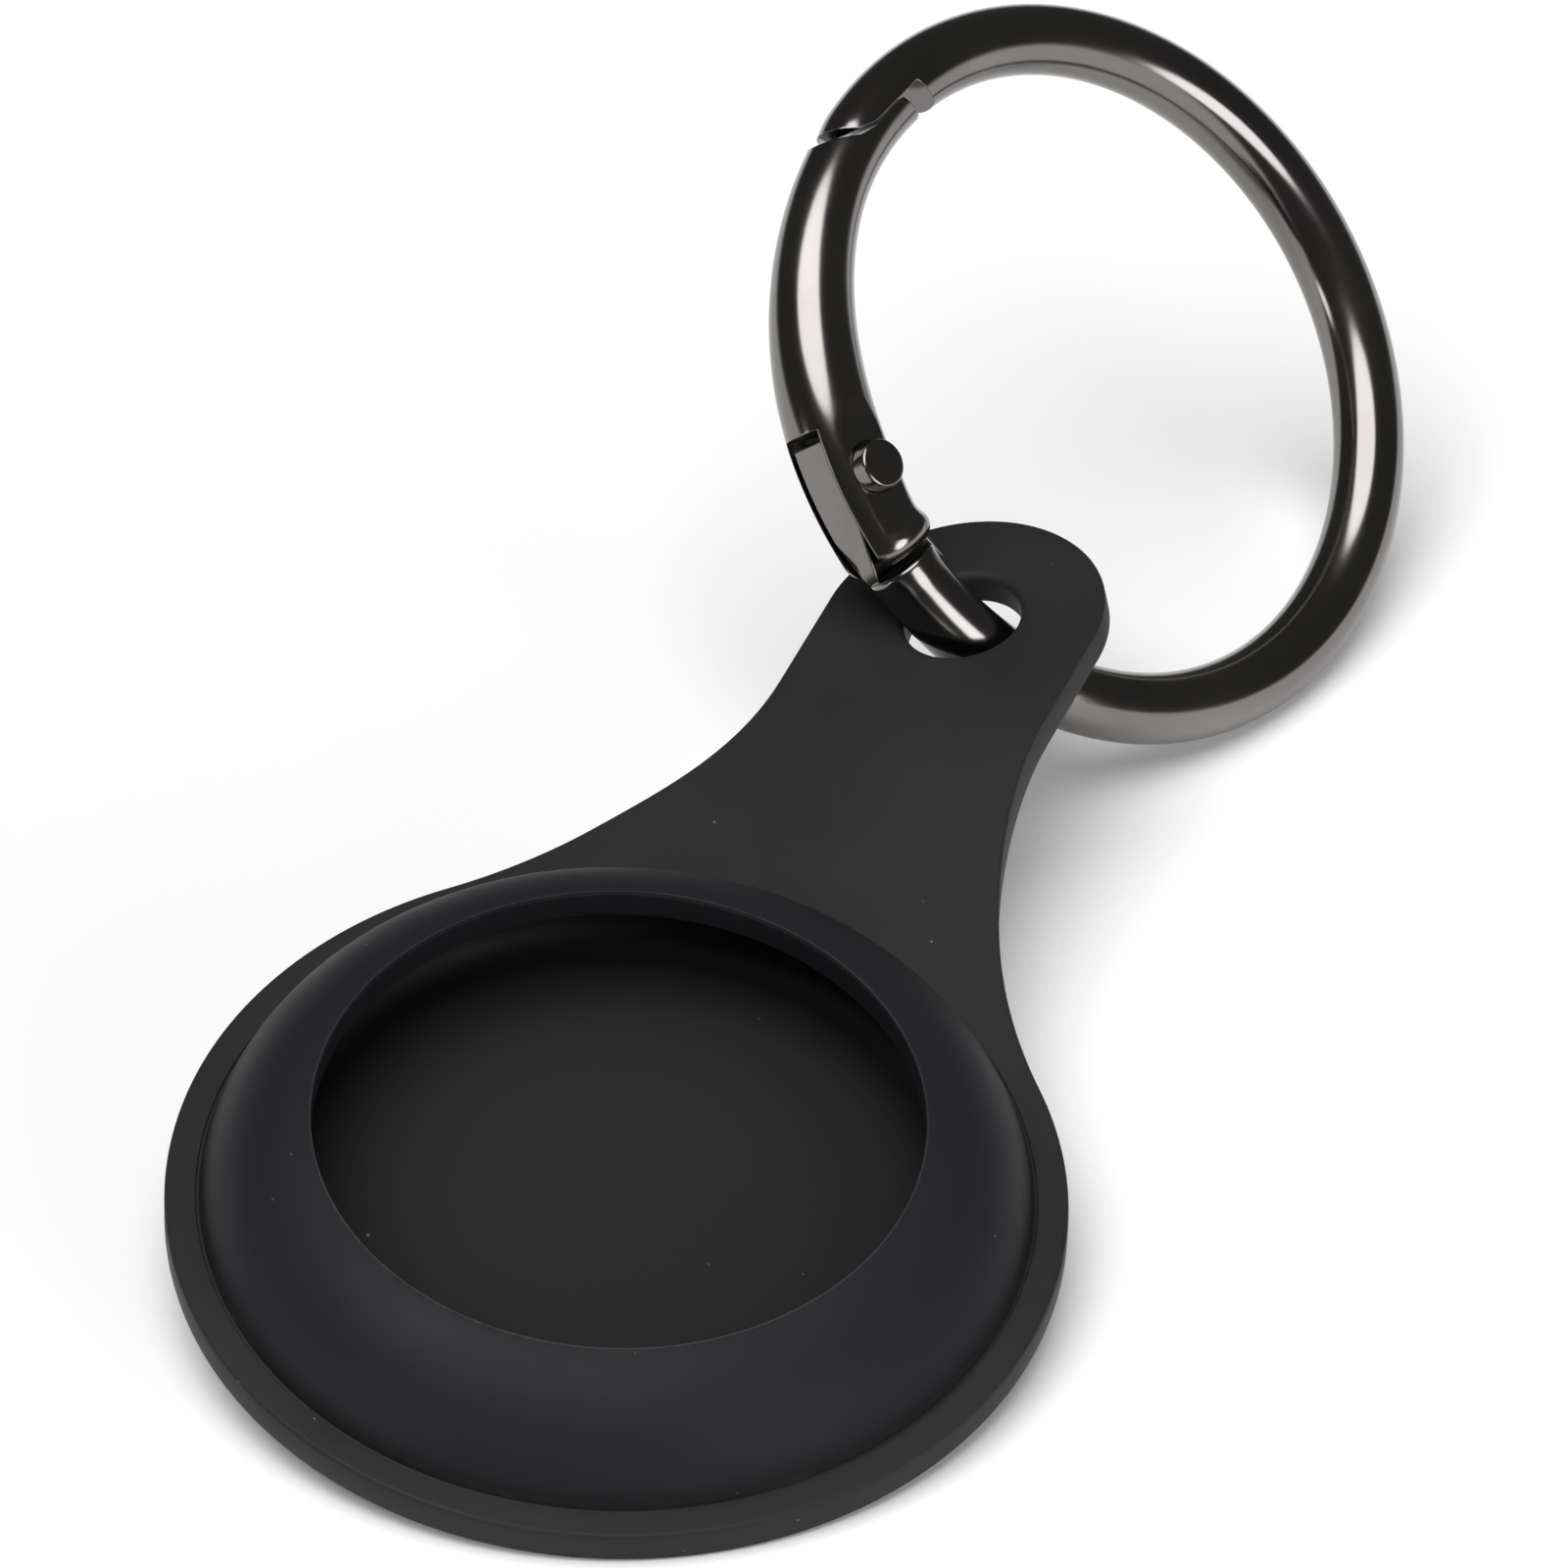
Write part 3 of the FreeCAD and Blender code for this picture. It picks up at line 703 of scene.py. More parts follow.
@dataclass
class Holder:
    """The silicone moulding: flange, dome, tag pocket, twisted neck and holed ear. Millimetres."""

    base_radius: float = 20.0
    dome_radius: float = 18.45
    lip_radius: float = 13.55
    lip_height: float = 6.65
    lip_underside: float = 5.15
    dome_curve: float = 6.5
    floor: float = 1.1
    pocket_radius: float = 16.2
    pocket_corner: float = 1.6
    pocket_shoulder: float = 3.2
    pocket_curve: float = 3.0
    thickness: float = 1.6
    neck_end: float = 33.4
    ear_reach: float = 39.4
    ear_radius: float = 6.7
    hole_radius: float = 2.72
    hole_round: float = 0.45
    hole_back_round: float = 0.15
    twist: float = 13.0
    edge_round: float = 0.22
    rim_round: float = 0.1
    groove_radius: float = 0.1
    pitch: float = 7.82
    roll: float = 5.15
    cutter_reach: float = 2.4
    turn_steps: int = 180
    neck_cuts: int = 28
    base_steps: int = 90
    neck_steps: int = 30
    ear_steps: int = 72
    dome_steps: int = 24
    corner_steps: int = 10
    lip_steps: int = 14
    groove_steps: int = 12
    round_steps: int = 5
    small_steps: int = 3
    edge_steps: int = 4

    def lie(self) -> Matrix:
        """How the holder lies on the table."""
        pitch = Matrix.Rotation(math.radians(self.pitch), 4, "X")
        return pitch @ Matrix.Rotation(math.radians(self.roll), 4, "Y")

    def teardrop(self) -> Mesh:
        """Flat plate of the flange, neck and ear, with its hole and rounded edges.

        Returns:
            The plate, before the neck is twisted.
        """
        flare = (self.ear_radius ** 2 + self.neck_end ** 2 - self.base_radius ** 2)
        flare /= 2.0 * (self.base_radius - self.ear_radius)
        side = self.ear_radius + flare
        lean = math.degrees(math.atan2(self.neck_end, side))
        bm = bmesh.new()
        vert = bm.verts.new((0.0, -self.base_radius, 0.0))
        vert = arc_to(bm, vert, (0, 0, 0), UP, 90.0 + lean, self.base_steps)
        vert = arc_to(bm, vert, (side, self.neck_end, 0), UP, -lean, self.neck_steps)
        vert = line_to(bm, vert, (self.ear_radius, self.ear_reach, 0))
        vert = arc_to(bm, vert, (0, self.ear_reach, 0), UP, 180.0, self.ear_steps)
        vert = line_to(bm, vert, (-self.ear_radius, self.neck_end, 0))
        vert = arc_to(bm, vert, (-side, self.neck_end, 0), UP, -lean, self.neck_steps)
        arc_to(bm, vert, (0, 0, 0), UP, 90.0 + lean, self.base_steps)
        bmesh.ops.remove_doubles(bm, verts=bm.verts[:], dist=NEAR)
        raise_outline(bm, self.thickness)
        plate = settled(bm, "plate")
        at_ear = Matrix.Translation(ALONG * self.ear_reach)
        hole = upright_bar("hole", self.ear_steps, self.hole_radius, -self.cutter_reach, self.cutter_reach,
                           at_ear)
        plate = merged(plate, hole, Merge.CUT)

        def at_hole(edge: BMEdge) -> bool:
            """Whether an edge rims the ear's hole."""
            middle = (edge.verts[0].co + edge.verts[1].co) / 2.0
            across = math.hypot(middle.x, middle.y - self.ear_reach)
            return across < self.hole_radius + NEAR and edge.calc_face_angle() > FOLD_ANGLE

        def at_outline(edge: BMEdge) -> bool:
            """Whether an edge runs round the plate's outline."""
            level = abs(edge.verts[0].co.z - edge.verts[1].co.z) < NEAR
            return level and edge.calc_face_angle() > FOLD_ANGLE

        def at_back(edge: BMEdge) -> bool:
            """Whether an edge lies on the plate's back face."""
            return sum(vert.co.z for vert in edge.verts) < self.thickness

        rounded(plate, lambda edge: at_hole(edge) and not at_back(edge), self.hole_round, self.round_steps)
        rounded(plate, lambda edge: at_hole(edge) and at_back(edge), self.hole_back_round, self.small_steps)
        return rounded(plate, lambda edge: at_outline(edge) and not at_hole(edge), self.edge_round,
                       self.edge_steps)

    def twisted(self, plate: Mesh) -> Mesh:
        """Twist the neck and the ear of the plate.

        Args:
            plate: Flat plate, changed in place.

        Returns:
            The same plate.
        """
        bm = bmesh.new()
        bm.from_mesh(plate)
        length = self.neck_end - self.base_radius
        for cut in range(self.neck_cuts + 1):
            where = self.base_radius + length * cut / self.neck_cuts
            bmesh.ops.bisect_plane(bm, geom=bm.verts[:] + bm.edges[:] + bm.faces[:], plane_co=ALONG * where,
                                   plane_no=ALONG, dist=MERGE_WITHIN / 10.0)
        middle = UP * (self.thickness / 2.0)
        for vert in bm.verts:
            angle = -math.radians(eased(((self.base_radius, 0.0), (self.neck_end, self.twist)), vert.co.y))
            vert.co = Matrix.Rotation(angle, 3, "Y") @ (vert.co - middle) + middle
        bm.to_mesh(plate)
        bm.free()
        return plate

    def dome(self) -> Mesh:
        """Domed collar as a full turned block, before the pocket is cut.

        Returns:
            The block.
        """
        start = Vector((self.dome_radius, 0.0, self.thickness))
        finish = Vector((self.lip_radius, 0.0, self.lip_height))
        bm = bmesh.new()
        vert = bm.verts.new((0.0, 0.0, self.floor / 2.0))
        vert = line_to(bm, vert, (self.dome_radius, 0.0, self.floor / 2.0))
        vert = line_to(bm, vert, start)
        vert = self.bend(bm, vert, start, finish, self.dome_curve, self.dome_steps)
        line_to(bm, vert, (0.0, 0.0, self.lip_height))
        return turned(bm, "dome", self.turn_steps)

    def bend(self, bm: BMesh, vert: BMVert, start: Vector, finish: Vector, radius: float,
             steps: int) -> BMVert:
        """Draw the outward arc of a profile in the XZ plane.

        Args:
            bm: Mesh under work.
            vert: Vertex at the start.
            start: Where the arc starts.
            finish: Where it ends.
            radius: Its radius.
            steps: Edges along it.

        Returns:
            The vertex at its end.
        """
        chord = finish - start
        inward = Vector((-chord.z, 0.0, chord.x)).normalized()
        centre = (start + finish) / 2.0 + inward * math.sqrt(radius ** 2 - (chord.length / 2.0) ** 2)
        sweep = 2.0 * math.degrees(math.asin(chord.length / 2.0 / radius))
        return arc_to(bm, vert, centre, -ALONG, sweep, steps)

    def pocket(self) -> Mesh:
        """Hollow for the tag, open through the lip's mouth.

        Returns:
            The hollow as a block.
        """
        corner = Vector((self.pocket_radius - self.pocket_corner, 0.0, self.floor))
        shoulder = Vector((self.pocket_radius, 0.0, self.pocket_shoulder))
        mouth = Vector((self.lip_radius, 0.0, self.lip_underside))
        above = self.lip_height + self.thickness
        bm = bmesh.new()
        vert = bm.verts.new((0.0, 0.0, self.floor))
        vert = line_to(bm, vert, corner)
        vert = arc_to(bm, vert, corner + UP * self.pocket_corner, -ALONG, 90.0, self.corner_steps)
        vert = line_to(bm, vert, shoulder)
        vert = self.bend(bm, vert, shoulder, mouth, self.pocket_curve, self.lip_steps)
        vert = line_to(bm, vert, (self.lip_radius, 0.0, above))
        line_to(bm, vert, (0.0, 0.0, above))
        return turned(bm, "pocket", self.turn_steps)

    def groove(self) -> Mesh:
        """Fine groove where the dome stands on the flange.

        Returns:
            The groove's cutter.
        """
        bm = bmesh.new()
        centre = (self.dome_radius + self.groove_radius, 0.0, self.thickness)
        stood_circle(bm, self.groove_steps, self.groove_radius, centre)
        return turned(bm, "groove", self.turn_steps)

    def build(self, material: Material) -> Object:
        """Build and dress the moulding.

        Args:
            material: Its finish.

        Returns:
            The piece.
        """
        shape = merged(self.twisted(self.teardrop()), self.dome(), Merge.JOIN)
        shape = merged(shape, self.groove(), Merge.CUT)
        shape = merged(shape, self.pocket(), Merge.CUT)

        def at_mouth(edge: BMEdge) -> bool:
            """Whether an edge rims the pocket's mouth."""
            high = all(vert.co.z > self.lip_height - NEAR for vert in edge.verts)
            return high and all(abs(vert.co.xy.length - self.lip_radius) < 10.0 * NEAR for vert in edge.verts)

        rounded(shape, at_mouth, self.rim_round, self.small_steps)
        place = self.lie() @ Matrix.Scale(MM, 4)
        return piece(shape, "silicone_holder", place, "holder", Slot.SILICONE, material, "holder_body")


@dataclass
class GateRing:
    """The plated ring: wire with its hinge tongue, sprung gate, rivet and spring. Millimetres."""

    radius: float = 16.24
    wire: float = 1.677
    roll: float = 41.28
    pitch: float = 5.75
    hinge_station: float = 154.23
    ear_station: float = 31.73
    ear_lean_out: float = 0.2
    ear_lean_back: float = 0.07
    shoulder_angle: float = 16.3
    shoulder_round: float = 0.28
    collar: Knots = ((16.3, 1.05), (17.6, 1.04), (21.0, 1.0))
    nose_run: float = 6.0
    nose_taper: float = 0.12
    tongue_thickness: float = 2.1
    tongue_root_angle: float = 20.0
    tongue_root_inset: float = 0.2
    tongue_bend_angle: float = 8.0
    tongue_dive: float = 0.26
    tongue_slope: float = 1.95
    tongue_end_angle: float = 6.6
    tongue_rise: float = 0.06
    tongue_face: float = 1.0
    heel_offset: float = 1.2
    heel_radius: float = 0.95
    knuckle: float = 2.22
    knuckle_angle: float = 15.3
    knuckle_round: float = 0.9
    round_steps: int = 9
    slot_width: float = 2.4
    slot_angle: float = 8.3
    rivet: float = 0.65
    rivet_gap: float = 0.05
    rivet_fit: float = 0.02
    rivet_seat: float = 1.82
    rivet_head: float = 1.17
    rivet_base: float = 1.24
    rivet_height: float = 0.92
    rivet_tail: float = 0.45
    rivet_tail_radius: float = 0.95
    rivet_round: float = 0.16
    tail_round: float = 0.2
    rivet_crown: float = 0.06
    bore: float = 0.9
    bore_inset: float = 0.63
    bore_depth: float = 5.2
    reach: float = 2.0
    spring_wire: float = 0.13
    spring_coil: float = 0.6
    spring_turns: int = 7
    spring_steps: int = 20
    spring_start: float = -1.18
    spring_length: float = 6.34
    spring_pressed: float = 0.855
    nose_lap: Knots = ((57.2, 1.27), (60.0, 0.42), (63.2, 0.12), (75.2, 0.02), (79.4, -1.27))
    gate_lap: Knots = ((53.2, 1.35), (55.2, 1.0), (56.6, 0.77), (59.2, 0.28), (62.9, 0.02), (70.6, -0.06),
                       (75.0, -1.35))
    lap_run: float = 12.0
    gate_tip: float = 85.0
    swell: Knots = ((-60.0, 0.0), (-4.0, 1.0))
    cheek: Knots = ((1.6, 0.0), (9.2, -0.05), (12.2, 0.04), (15.3, 0.04))
    cheek_front: float = 0.64
    cheek_in: float = 0.77
    flat: Knots = ((-15.0, 2.3), (-6.0, 1.87), (9.6, 1.87), (13.0, 2.35))
    wire_segments: int = 64
    wire_steps: int = 300
    gate_segments: int = 80
    gate_steps: int = 230
    shoulder_steps: int = 5
    tongue_steps: int = 24
    heel_steps: int = 20
    pin_steps: int = 40
    bore_steps: int = 32
    coil_segments: int = 12
    rivet_steps: int = 56
    head_steps: int = 8
    tail_steps: int = 6

    def place(self, holder: Holder) -> Matrix:
        """Where the ring lies, its wire through the ear's hole and leaning on one side of it.

        Args:
            holder: The holder that carries it.

        Returns:
            The ring's frame, from millimetres to metres.
        """
        way = Matrix.Identity(4)
        for degrees, axis in ((self.roll, "Y"), (self.pitch, "X"), (90.0 + self.hinge_station, "Z")):
            way = way @ Matrix.Rotation(math.radians(degrees), 4, axis)
        hole = Vector((0.0, holder.ear_reach, holder.thickness / 2.0))
        wire_line = polar(self.ear_station, self.radius - self.ear_lean_out)
        at_hole = way @ Vector((*wire_line, self.ear_lean_back))
        return holder.lie() @ Matrix.Scale(MM, 4) @ Matrix.Translation(hole - at_hole) @ way

    def rod(self, start: float, finish: float, segments: int, steps: int) -> BMesh:
        """Round rod bent along the ring, open at both ends.

        Args:
            start: Angle where it starts, in degrees.
            finish: Angle where it ends.
            segments: Faces round it.
            steps: Faces along it.

        Returns:
            The rod under work.
        """
        bm = bmesh.new()
        stood_circle(bm, segments, self.wire, (self.radius, 0.0, 0.0))
        bmesh.ops.rotate(bm, verts=bm.verts[:], cent=(0, 0, 0),
                         matrix=Matrix.Rotation(math.radians(start), 3, "Z"))
        bmesh.ops.spin(bm, geom=bm.verts[:] + bm.edges[:], cent=(0, 0, 0), axis=UP,
                       angle=math.radians(finish - start), steps=steps)
        bmesh.ops.remove_doubles(bm, verts=bm.verts[:], dist=MERGE_WITHIN)
        return bm

    def capped(self, bm: BMesh, name: str) -> Mesh:
        """Close both ends of a rod.

        Args:
            bm: The rod under work.
            name: Name of the mesh.

        Returns:
            The closed rod.
        """
        open_edges = [edge for edge in bm.edges if edge.is_boundary]
        bmesh.ops.holes_fill(bm, edges=open_edges, sides=0)
        return settled(bm, name)

    def end_rim(self, degrees: float) -> EdgeTest:
        """Test for the edges that rim a rod's end.

        Args:
            degrees: Angle of the end.

        Returns:
            The test.
        """
        across = Vector((*polar(degrees + 90.0, 1.0), 0.0))
        return lambda edge: all(abs(vert.co.dot(across)) < NEAR and vert.co.x > 0.0 for vert in edge.verts)

    def lap(self, name: str, knots: Knots, far: float) -> Mesh:
        """Cutter of a half-lap.

        Args:
            name: Name of the mesh.
            knots: The lap's line: angles towards the nose, heights as shares of the wire's radius.
            far: Angle where the cut ends.

        Returns:
            The cutter.
        """
        inside = self.radius - self.wire - self.reach
        outside = self.radius + self.wire + self.reach
        corners = [polar(-angle, self.radius + self.wire * share) for angle, share in knots]
        corners += [polar(-knots[-1][0], inside), polar(-far, inside), polar(-far, outside),
                    polar(-knots[0][0], outside)]
        return prism(name, corners, -self.knuckle * 2.0, self.knuckle * 2.0)

    def pin(self, name: str, radius: float, seats: tuple[float, float] | None = None) -> Mesh:
        """Upright round cutter through the hinge, wider past the rivet's seats if asked.

        Args:
            name: Name of the mesh.
            radius: Its radius.
            seats: Its radii past the back seat and past the front seat.

        Returns:
            The cutter.
        """
        far = self.knuckle * 2.0
        bm = bmesh.new()
        vert = bm.verts.new((0.0, 0.0, -far))
        corners = [(radius, -far), (radius, far)]
        if seats is not None:
            back, front = seats
            corners = [(back, -far), (back, -self.rivet_seat), (radius, -self.rivet_seat),
                       (radius, self.rivet_seat), (front, self.rivet_seat), (front, far)]
        for across, height in [*corners, (0.0, far)]:
            vert = line_to(bm, vert, (across, 0.0, height))
        mesh = turned(bm, name, self.pin_steps)
        mesh.transform(Matrix.Translation((self.radius, 0.0, 0.0)))
        return mesh

    def tongue(self) -> Mesh:
        """Flat hinge tongue with its heel.

        Returns:
            The tongue.
        """
        outer = self.radius + self.wire
        inner = self.radius - self.wire + self.tongue_root_inset
        bm = bmesh.new()
        start = bm.verts.new((*polar(-self.tongue_end_angle, outer + self.tongue_rise), 0.0))
        vert = arc_to(bm, start, (0, 0, 0), UP, self.tongue_end_angle + self.tongue_bend_angle,
                      self.tongue_steps)
        vert = root = line_to(bm, vert, (*polar(self.tongue_root_angle, outer - self.tongue_dive), 0))
        vert = line_to(bm, vert, (*polar(self.tongue_root_angle, inner), 0))
        vert = line_to(bm, vert, (self.radius - self.heel_offset, self.heel_radius, 0.0))
        vert = arc_to(bm, vert, (self.radius - self.heel_offset, 0.0, 0.0), UP, 180.0, self.heel_steps)
        vert = line_to(bm, vert, (self.radius, -self.tongue_face, 0.0))
        bm.edges.new((vert, start))
        raise_outline(bm, self.tongue_thickness)
        raised = [other for other in bm.verts if other.co.z > self.tongue_thickness / 2.0]
        min(raised, key=lambda other: (other.co.xy - root.co.xy).length).co.z -= self.tongue_slope
        bmesh.ops.translate(bm, verts=bm.verts[:], vec=UP * (-self.tongue_thickness / 2.0))
        return settled(bm, "tongue")

    def body_mesh(self) -> Mesh:
        """Wire body with its nose, its hinge tongue and the rivet's hole.

        Returns:
            The closed mesh.
        """
        nose = 360.0 - self.nose_lap[0][0]
        bm = self.rod(self.shoulder_angle, nose, self.wire_segments, self.wire_steps)
        for vert in bm.verts:
            angle = math.degrees(math.atan2(vert.co.y, vert.co.x)) % 360.0
            share = max(angle - nose + self.nose_run, 0.0) / self.nose_run
            self.reshape(vert, angle, eased(self.collar, angle) - self.nose_taper * share * share, 0.0)
        wire = self.capped(bm, "wire")
        rounded(wire, self.end_rim(self.shoulder_angle), self.shoulder_round, self.shoulder_steps)
        wire = merged(wire, self.lap("nose", self.nose_lap, self.nose_lap[0][0] - self.lap_run), Merge.CUT)
        wire = merged(wire, self.tongue(), Merge.JOIN)
        wire = merged(wire, self.pin("pivot", self.rivet + self.rivet_gap), Merge.CUT)
        return wire

    def gate_arm(self) -> BMesh:
        """Gate before its cuts: an arm that swells to the hinge, with a flat front there and a rounded end.

        Returns:
            The arm under work, open at both ends.
        """
        bm = self.rod(-self.gate_tip, self.knuckle_angle, self.gate_segments, self.gate_steps)
        span = self.gate_tip + self.knuckle_angle
        plain = span * (1.0 - self.round_steps / self.gate_steps)
        turn = math.degrees(self.knuckle_round / self.radius)
        for vert in bm.verts:
            angle = math.degrees(math.atan2(vert.co.y, vert.co.x))
            section = vert.co - Vector((*polar(angle, self.radius), 0.0))
            out = section.dot(Vector((*polar(angle, 1.0), 0.0))) / self.wire
            high = section.z / self.wire
            along = angle + self.gate_tip
            inset = 0.0
            if along > plain:
                bend = math.pi / 2.0 * (along - plain) / (span - plain)
                angle = self.knuckle_angle - turn * (1.0 - math.sin(bend))
                inset = self.knuckle_round * (1.0 - math.cos(bend))
            else:
                angle = along * (span - turn) / plain - self.gate_tip
            grown = self.wire + (self.knuckle - self.wire) * eased(self.swell, angle) - inset
            vert.co = Vector((*polar(angle, self.radius + out * grown), high * grown))
            self.reshape(vert, angle, 1.0, eased(self.cheek, angle))
            vert.co.z = min(vert.co.z, eased(self.flat, angle))
        return bm

    def reshape(self, vert: BMVert, angle: float, scale: float, swelling: float) -> None:
        """Scale a rod's section about its centre line, and swell or flatten its inner front.

        Args:
            vert: Vertex of the section, moved here.
            angle: Angle of the section.
            scale: Scale of the whole section.
            swelling: Share by which the inner front grows.
        """
        out = Vector((*polar(angle, 1.0), 0.0))
        centre = out * self.radius
        section = (vert.co - centre) * scale
        towards = UP * self.cheek_front - out * self.cheek_in
        vert.co = centre + section + towards * swelling * max(section.dot(towards), 0.0)

    def gate_mesh(self) -> Mesh:
        """Sprung gate with its half-lap, slot, rivet seats and bore.

        Returns:
            The closed mesh.
        """
        gate = self.capped(self.gate_arm(), "gate")
        gate = merged(gate, self.lap("tip", self.gate_lap, self.gate_lap[-1][0] + self.lap_run), Merge.CUT)
        inside = self.radius - self.knuckle - self.reach
        outside = self.radius + self.knuckle + self.reach
        past = 2.0 * self.knuckle_angle
        corners = [polar(-self.slot_angle, inside), polar(-self.slot_angle, outside), polar(past, outside),
                   polar(past, inside)]
        slot = prism("slot", corners, -self.slot_width / 2.0, self.slot_width / 2.0)
        gate = merged(gate, slot, Merge.CUT)
        seats = (self.rivet_tail_radius + self.rivet_gap, self.rivet_base + self.rivet_gap)
        gate = merged(gate, self.pin("seats", self.rivet + self.rivet_fit, seats), Merge.CUT)
        gate = merged(gate, self.spring_bore(), Merge.CUT)
        return gate

    def spring_bore(self) -> Mesh:
        """Round bore in the slot's wall that takes the spring.

        Returns:
            The bore's cutter.
        """
        return upright_bar("bore", self.bore_steps, self.bore, -self.reach, self.bore_depth,
                           self.bore_mouth())

    def bore_mouth(self) -> Matrix:
        """Frame at the bore's mouth, Z along the bore towards the gate's tip.

        Returns:
            The frame, in the ring's plane.
        """
        mouth = self.radius * math.cos(math.radians(self.slot_angle)) - self.bore_inset
        turn = Matrix.Rotation(math.radians(-self.slot_angle), 4, "Z")
        return turn @ Matrix.Translation((mouth, 0.0, 0.0)) @ Matrix.Rotation(math.pi / 2.0, 4, "X")

    def spring_mesh(self) -> Mesh:
        """Coil spring along Z, from the bore's mouth.

        Returns:
            The closed mesh.
        """
        bm = bmesh.new()
        first_turn = (self.spring_coil, 0.0, self.spring_start + self.spring_wire)
        stood_circle(bm, self.coil_segments, self.spring_wire, first_turn)
        steps = self.spring_turns * self.spring_steps
        climb = (self.spring_length - 2.0 * self.spring_wire) / steps
        bmesh.ops.spin(bm, geom=bm.verts[:] + bm.edges[:], cent=(0, 0, 0), axis=UP, dvec=UP * climb,
                       angle=math.tau * self.spring_turns, steps=steps)
        return self.capped(bm, "coil")

    def rivet_mesh(self) -> Mesh:
        """Hinge rivet with its head in front and its tail behind.

        Returns:
            The closed mesh.
        """
        bm = bmesh.new()
        vert = bm.verts.new((0.0, 0.0, -self.rivet_seat - self.rivet_tail))
        inner = self.rivet_tail_radius - self.tail_round
        edge = -self.rivet_seat - self.rivet_tail + self.tail_round
        vert = line_to(bm, vert, (inner, 0.0, edge - self.tail_round))
        vert = arc_to(bm, vert, (inner, 0.0, edge), -ALONG, 90.0, self.tail_steps)
        vert = line_to(bm, vert, (self.rivet_tail_radius, 0.0, -self.rivet_seat))
        vert = line_to(bm, vert, (self.rivet, 0.0, -self.rivet_seat))
        vert = line_to(bm, vert, (self.rivet, 0.0, self.rivet_seat))
        vert = line_to(bm, vert, (self.rivet_base, 0.0, self.rivet_seat))
        top = self.rivet_seat + self.rivet_height
        inner = self.rivet_head - self.rivet_round
        edge = top - self.rivet_crown - self.rivet_round
        vert = line_to(bm, vert, (self.rivet_head, 0.0, edge))
        vert = arc_to(bm, vert, (inner, 0.0, edge), -ALONG, 90.0, self.head_steps)
        vert = line_to(bm, vert, (inner / 2.0, 0.0, top - self.rivet_crown / 4.0))
        line_to(bm, vert, (0.0, 0.0, top))
        mesh = turned(bm, "rivet", self.rivet_steps)
        mesh.transform(Matrix.Translation((self.radius, 0.0, 0.0)))
        return mesh

    def build(self, holder: Holder, plating: Material, steel: Material) -> None:
        """Build and dress the ring's pieces.

        Args:
            holder: The holder that carries the ring.
            plating: Finish of the ring, the gate and the rivet.
            steel: Finish of the spring.
        """
        place = self.place(holder)
        piece(self.body_mesh(), "ring_wire", place, "ring", Slot.PLATED, plating, "ring_body")
        piece(self.gate_mesh(), "spring_gate", place, "gate", Slot.PLATED, plating, "gate")
        piece(self.rivet_mesh(), "hinge_rivet", place, "gate", Slot.PLATED, plating, "pivot_rivet")
        bore = place @ self.bore_mouth()
        spring = piece(self.spring_mesh(), "coil_spring", bore, "gate", Slot.SPRING, steel, "gate_spring")
        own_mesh(spring)


@dataclass(frozen=True)
class Lamp:
    """One soft lamp far off: where it stands, how wide it looks and how strong it is."""

    name: str
    azimuth: float
    elevation: float
    width: float
    strength: float

    def build(self) -> Object:
        """Put the lamp up.

        Returns:
            The lamp.
        """
        light = bpy.data.lights.new(self.name, "SUN")
        light.energy = self.strength
        light.angle = math.radians(self.width)
        lamp = shown(self.name, light)
        around, above = math.radians(self.azimuth), math.radians(self.elevation)
        level = math.cos(above)
        towards = Vector((math.sin(around) * level, math.cos(around) * level, math.sin(above)))
        lamp.rotation_mode = "QUATERNION"
        lamp.rotation_quaternion = (-towards).to_track_quat("-Z", "Y")
        lamp.location = towards
        return lamp


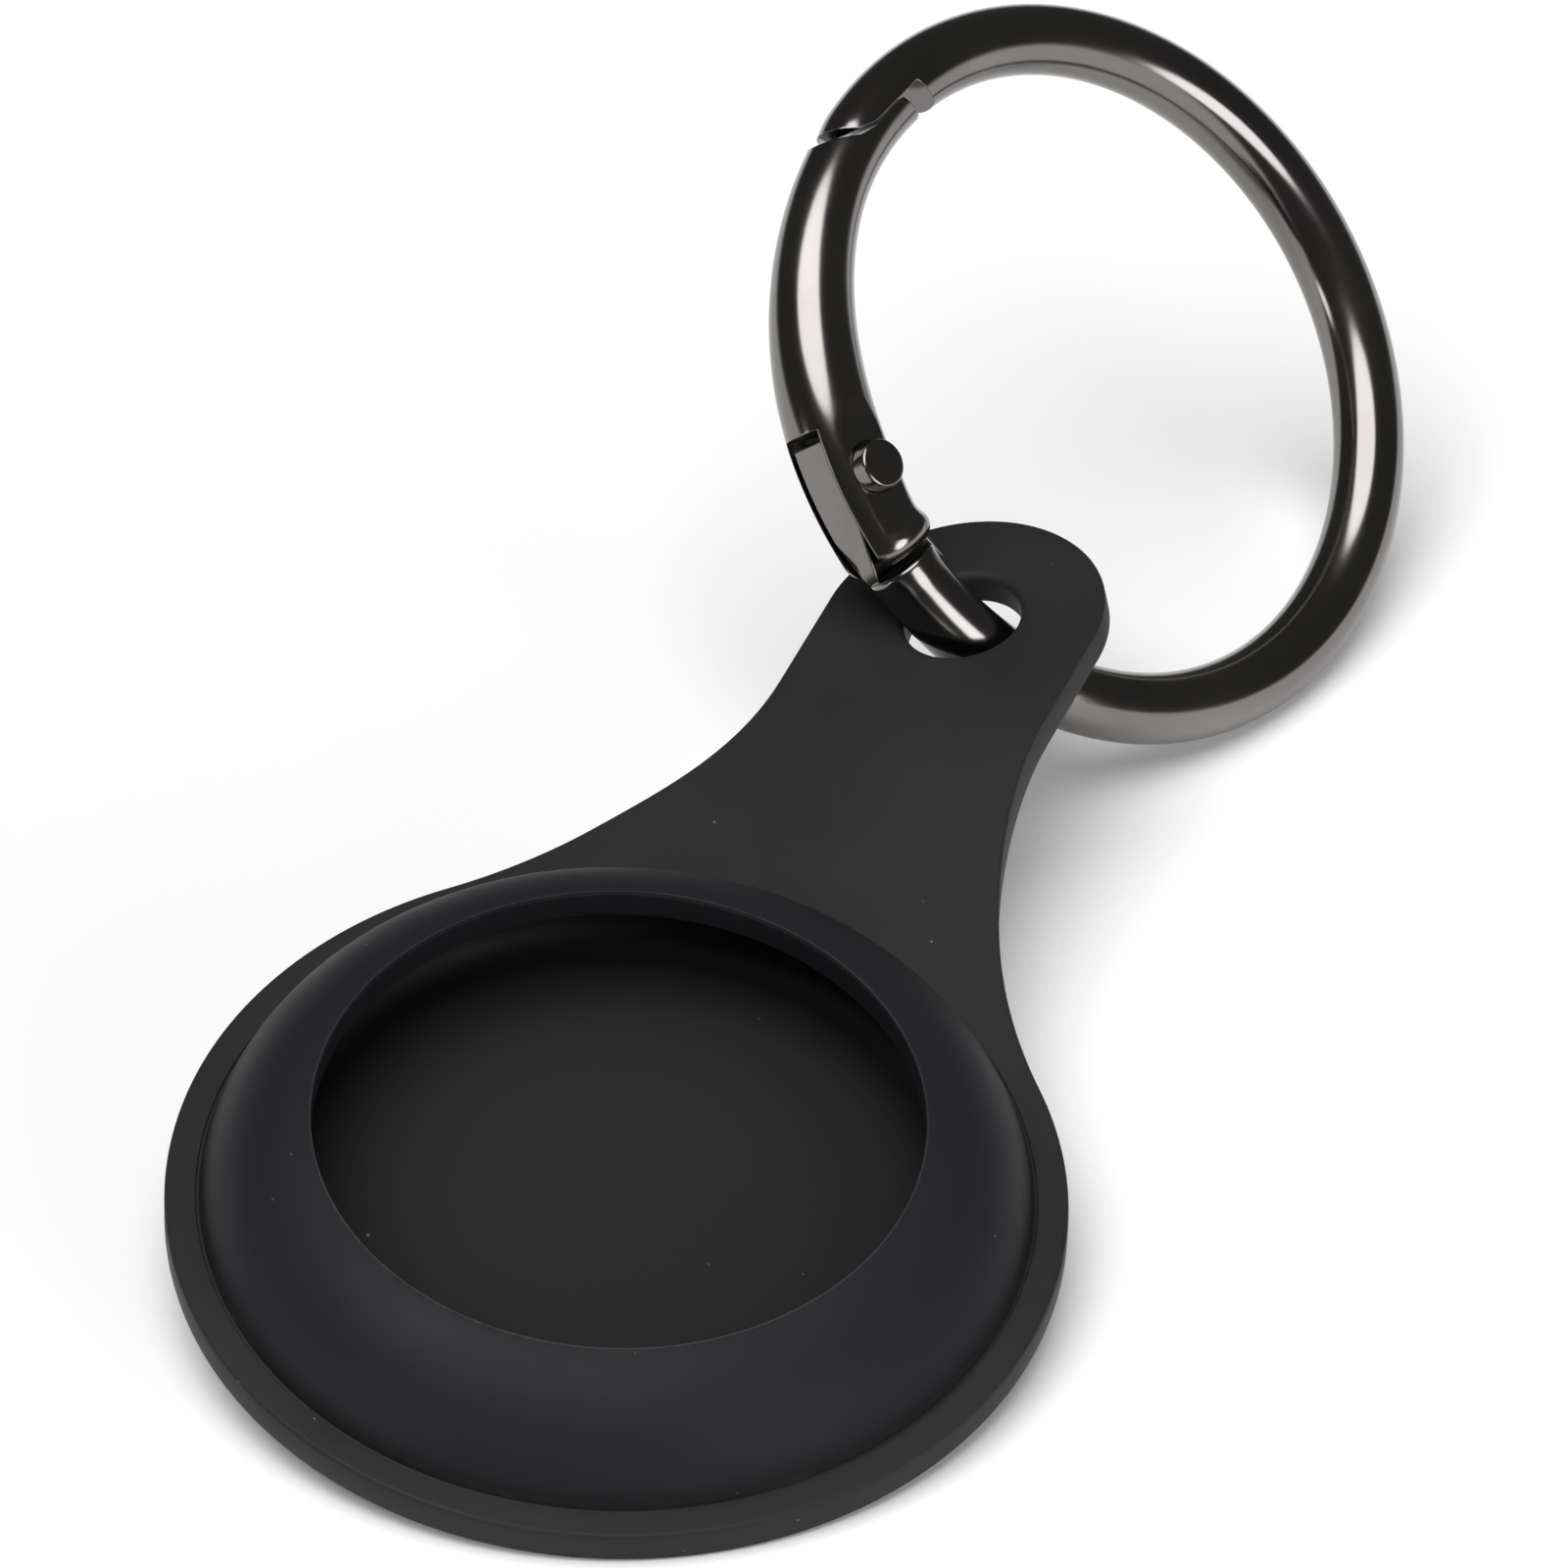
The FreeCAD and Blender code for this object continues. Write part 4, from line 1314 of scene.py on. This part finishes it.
@dataclass
class Studio:
    """White table, soft lamps, dim room and the camera."""

    floor_radius: float = 0.22
    horizon_low: float = -0.16
    horizon_high: float = 0.05
    horizon: float = 0.5
    room: float = 0.068
    floor_steps: int = 96
    lens: float = 315.0
    sensor: float = 36.0
    nearest: float = 0.01
    farthest: float = 50.0
    camera_at: Point = (0.19738339, -0.43001948, 0.3818896)
    camera_right: Point = (0.91525719, 0.40287004, 0.00004368)
    camera_down: Point = (0.24306057, -0.55210882, -0.79755715)
    lamps: tuple[Lamp, ...] = (
        Lamp("overhead softbox", -165.0, 75.0, 54.0, 2.6),
        Lamp("side softbox", 112.0, 15.0, 31.0, 0.95),
        Lamp("low strip", -144.0, 6.0, 13.0, 0.14),
    )

    def build_floor(self, low: float, material: Material) -> Object:
        """Lay the table under the object.

        Args:
            low: Height of the table's top.
            material: Its finish.

        Returns:
            The table.
        """
        bm = bmesh.new()
        bmesh.ops.create_circle(bm, cap_ends=True, segments=self.floor_steps, radius=self.floor_radius)
        bmesh.ops.translate(bm, verts=bm.verts[:], vec=UP * low)
        mesh = settled(bm, "table")
        mesh.materials.append(material)
        table = shown("table", mesh)
        return table

    def build_room(self) -> None:
        """Dim room round the table, white to the camera and, below the horizon, in the metal."""
        world = bpy.data.worlds.new("room")
        world.use_nodes = True
        bench = NodeBench(world.node_tree)
        where = bench.add("ShaderNodeTexCoord").outputs["Generated"]
        height = bench.add("ShaderNodeSeparateXYZ", {"Vector": where}).outputs["Z"]
        level = bench.ramp(height, self.horizon_low, self.horizon_high, self.horizon, self.room)
        path = bench.add("ShaderNodeLightPath").outputs
        mirrored = bench.math("ADD", path["Is Glossy Ray"], path["Is Transmission Ray"], clamp=True)
        ground = bench.ramp(height, self.horizon_low, self.horizon_high, 1.0, 0.0)
        level = bench.math("MAXIMUM", level, bench.math("MULTIPLY", mirrored, ground))
        level = bench.math("MAXIMUM", level, path["Is Camera Ray"])
        bench.fill(world.node_tree.nodes["Background"], {"Color": level})
        bpy.context.scene.world = world

    def build_camera(self) -> Object:
        """Stand the camera at the photograph's viewing angle.

        Returns:
            The camera.
        """
        data = bpy.data.cameras.new("camera")
        data.lens = self.lens
        data.sensor_width = self.sensor
        data.clip_start = self.nearest
        data.clip_end = self.farthest
        camera = shown("camera", data)
        right = Vector(self.camera_right).normalized()
        up = -Vector(self.camera_down).normalized()
        turn = Matrix((right, up, right.cross(up))).transposed()
        camera.matrix_world = Matrix.Translation(self.camera_at) @ turn.to_4x4()
        bpy.context.scene.camera = camera
        return camera


def main() -> None:
    """Build the holder, its ring and the studio."""
    logging.basicConfig(level=logging.INFO, format="%(message)s")
    effects = Effects()
    holder = Holder()
    holder.build(SiliconeFinish().material(effects, holder.lie()))
    steel = PlatedFinish("drawn spring steel", bright=(0.6, 0.6, 0.61, 1.0), dark=(0.45, 0.45, 0.46, 1.0),
                         gloss_low=0.25, gloss_high=0.35, wave=0.1)
    GateRing().build(holder, PlatedFinish().material(effects), steel.material(effects))
    studio = Studio()
    studio.build_floor(CAD_BOX[0].z, FloorFinish().material())
    studio.build_room()
    studio.build_camera()
    for lamp in studio.lamps:
        lamp.build()
    bpy.context.scene.view_settings.view_transform = "Standard"


if __name__ == "__main__":
    main()
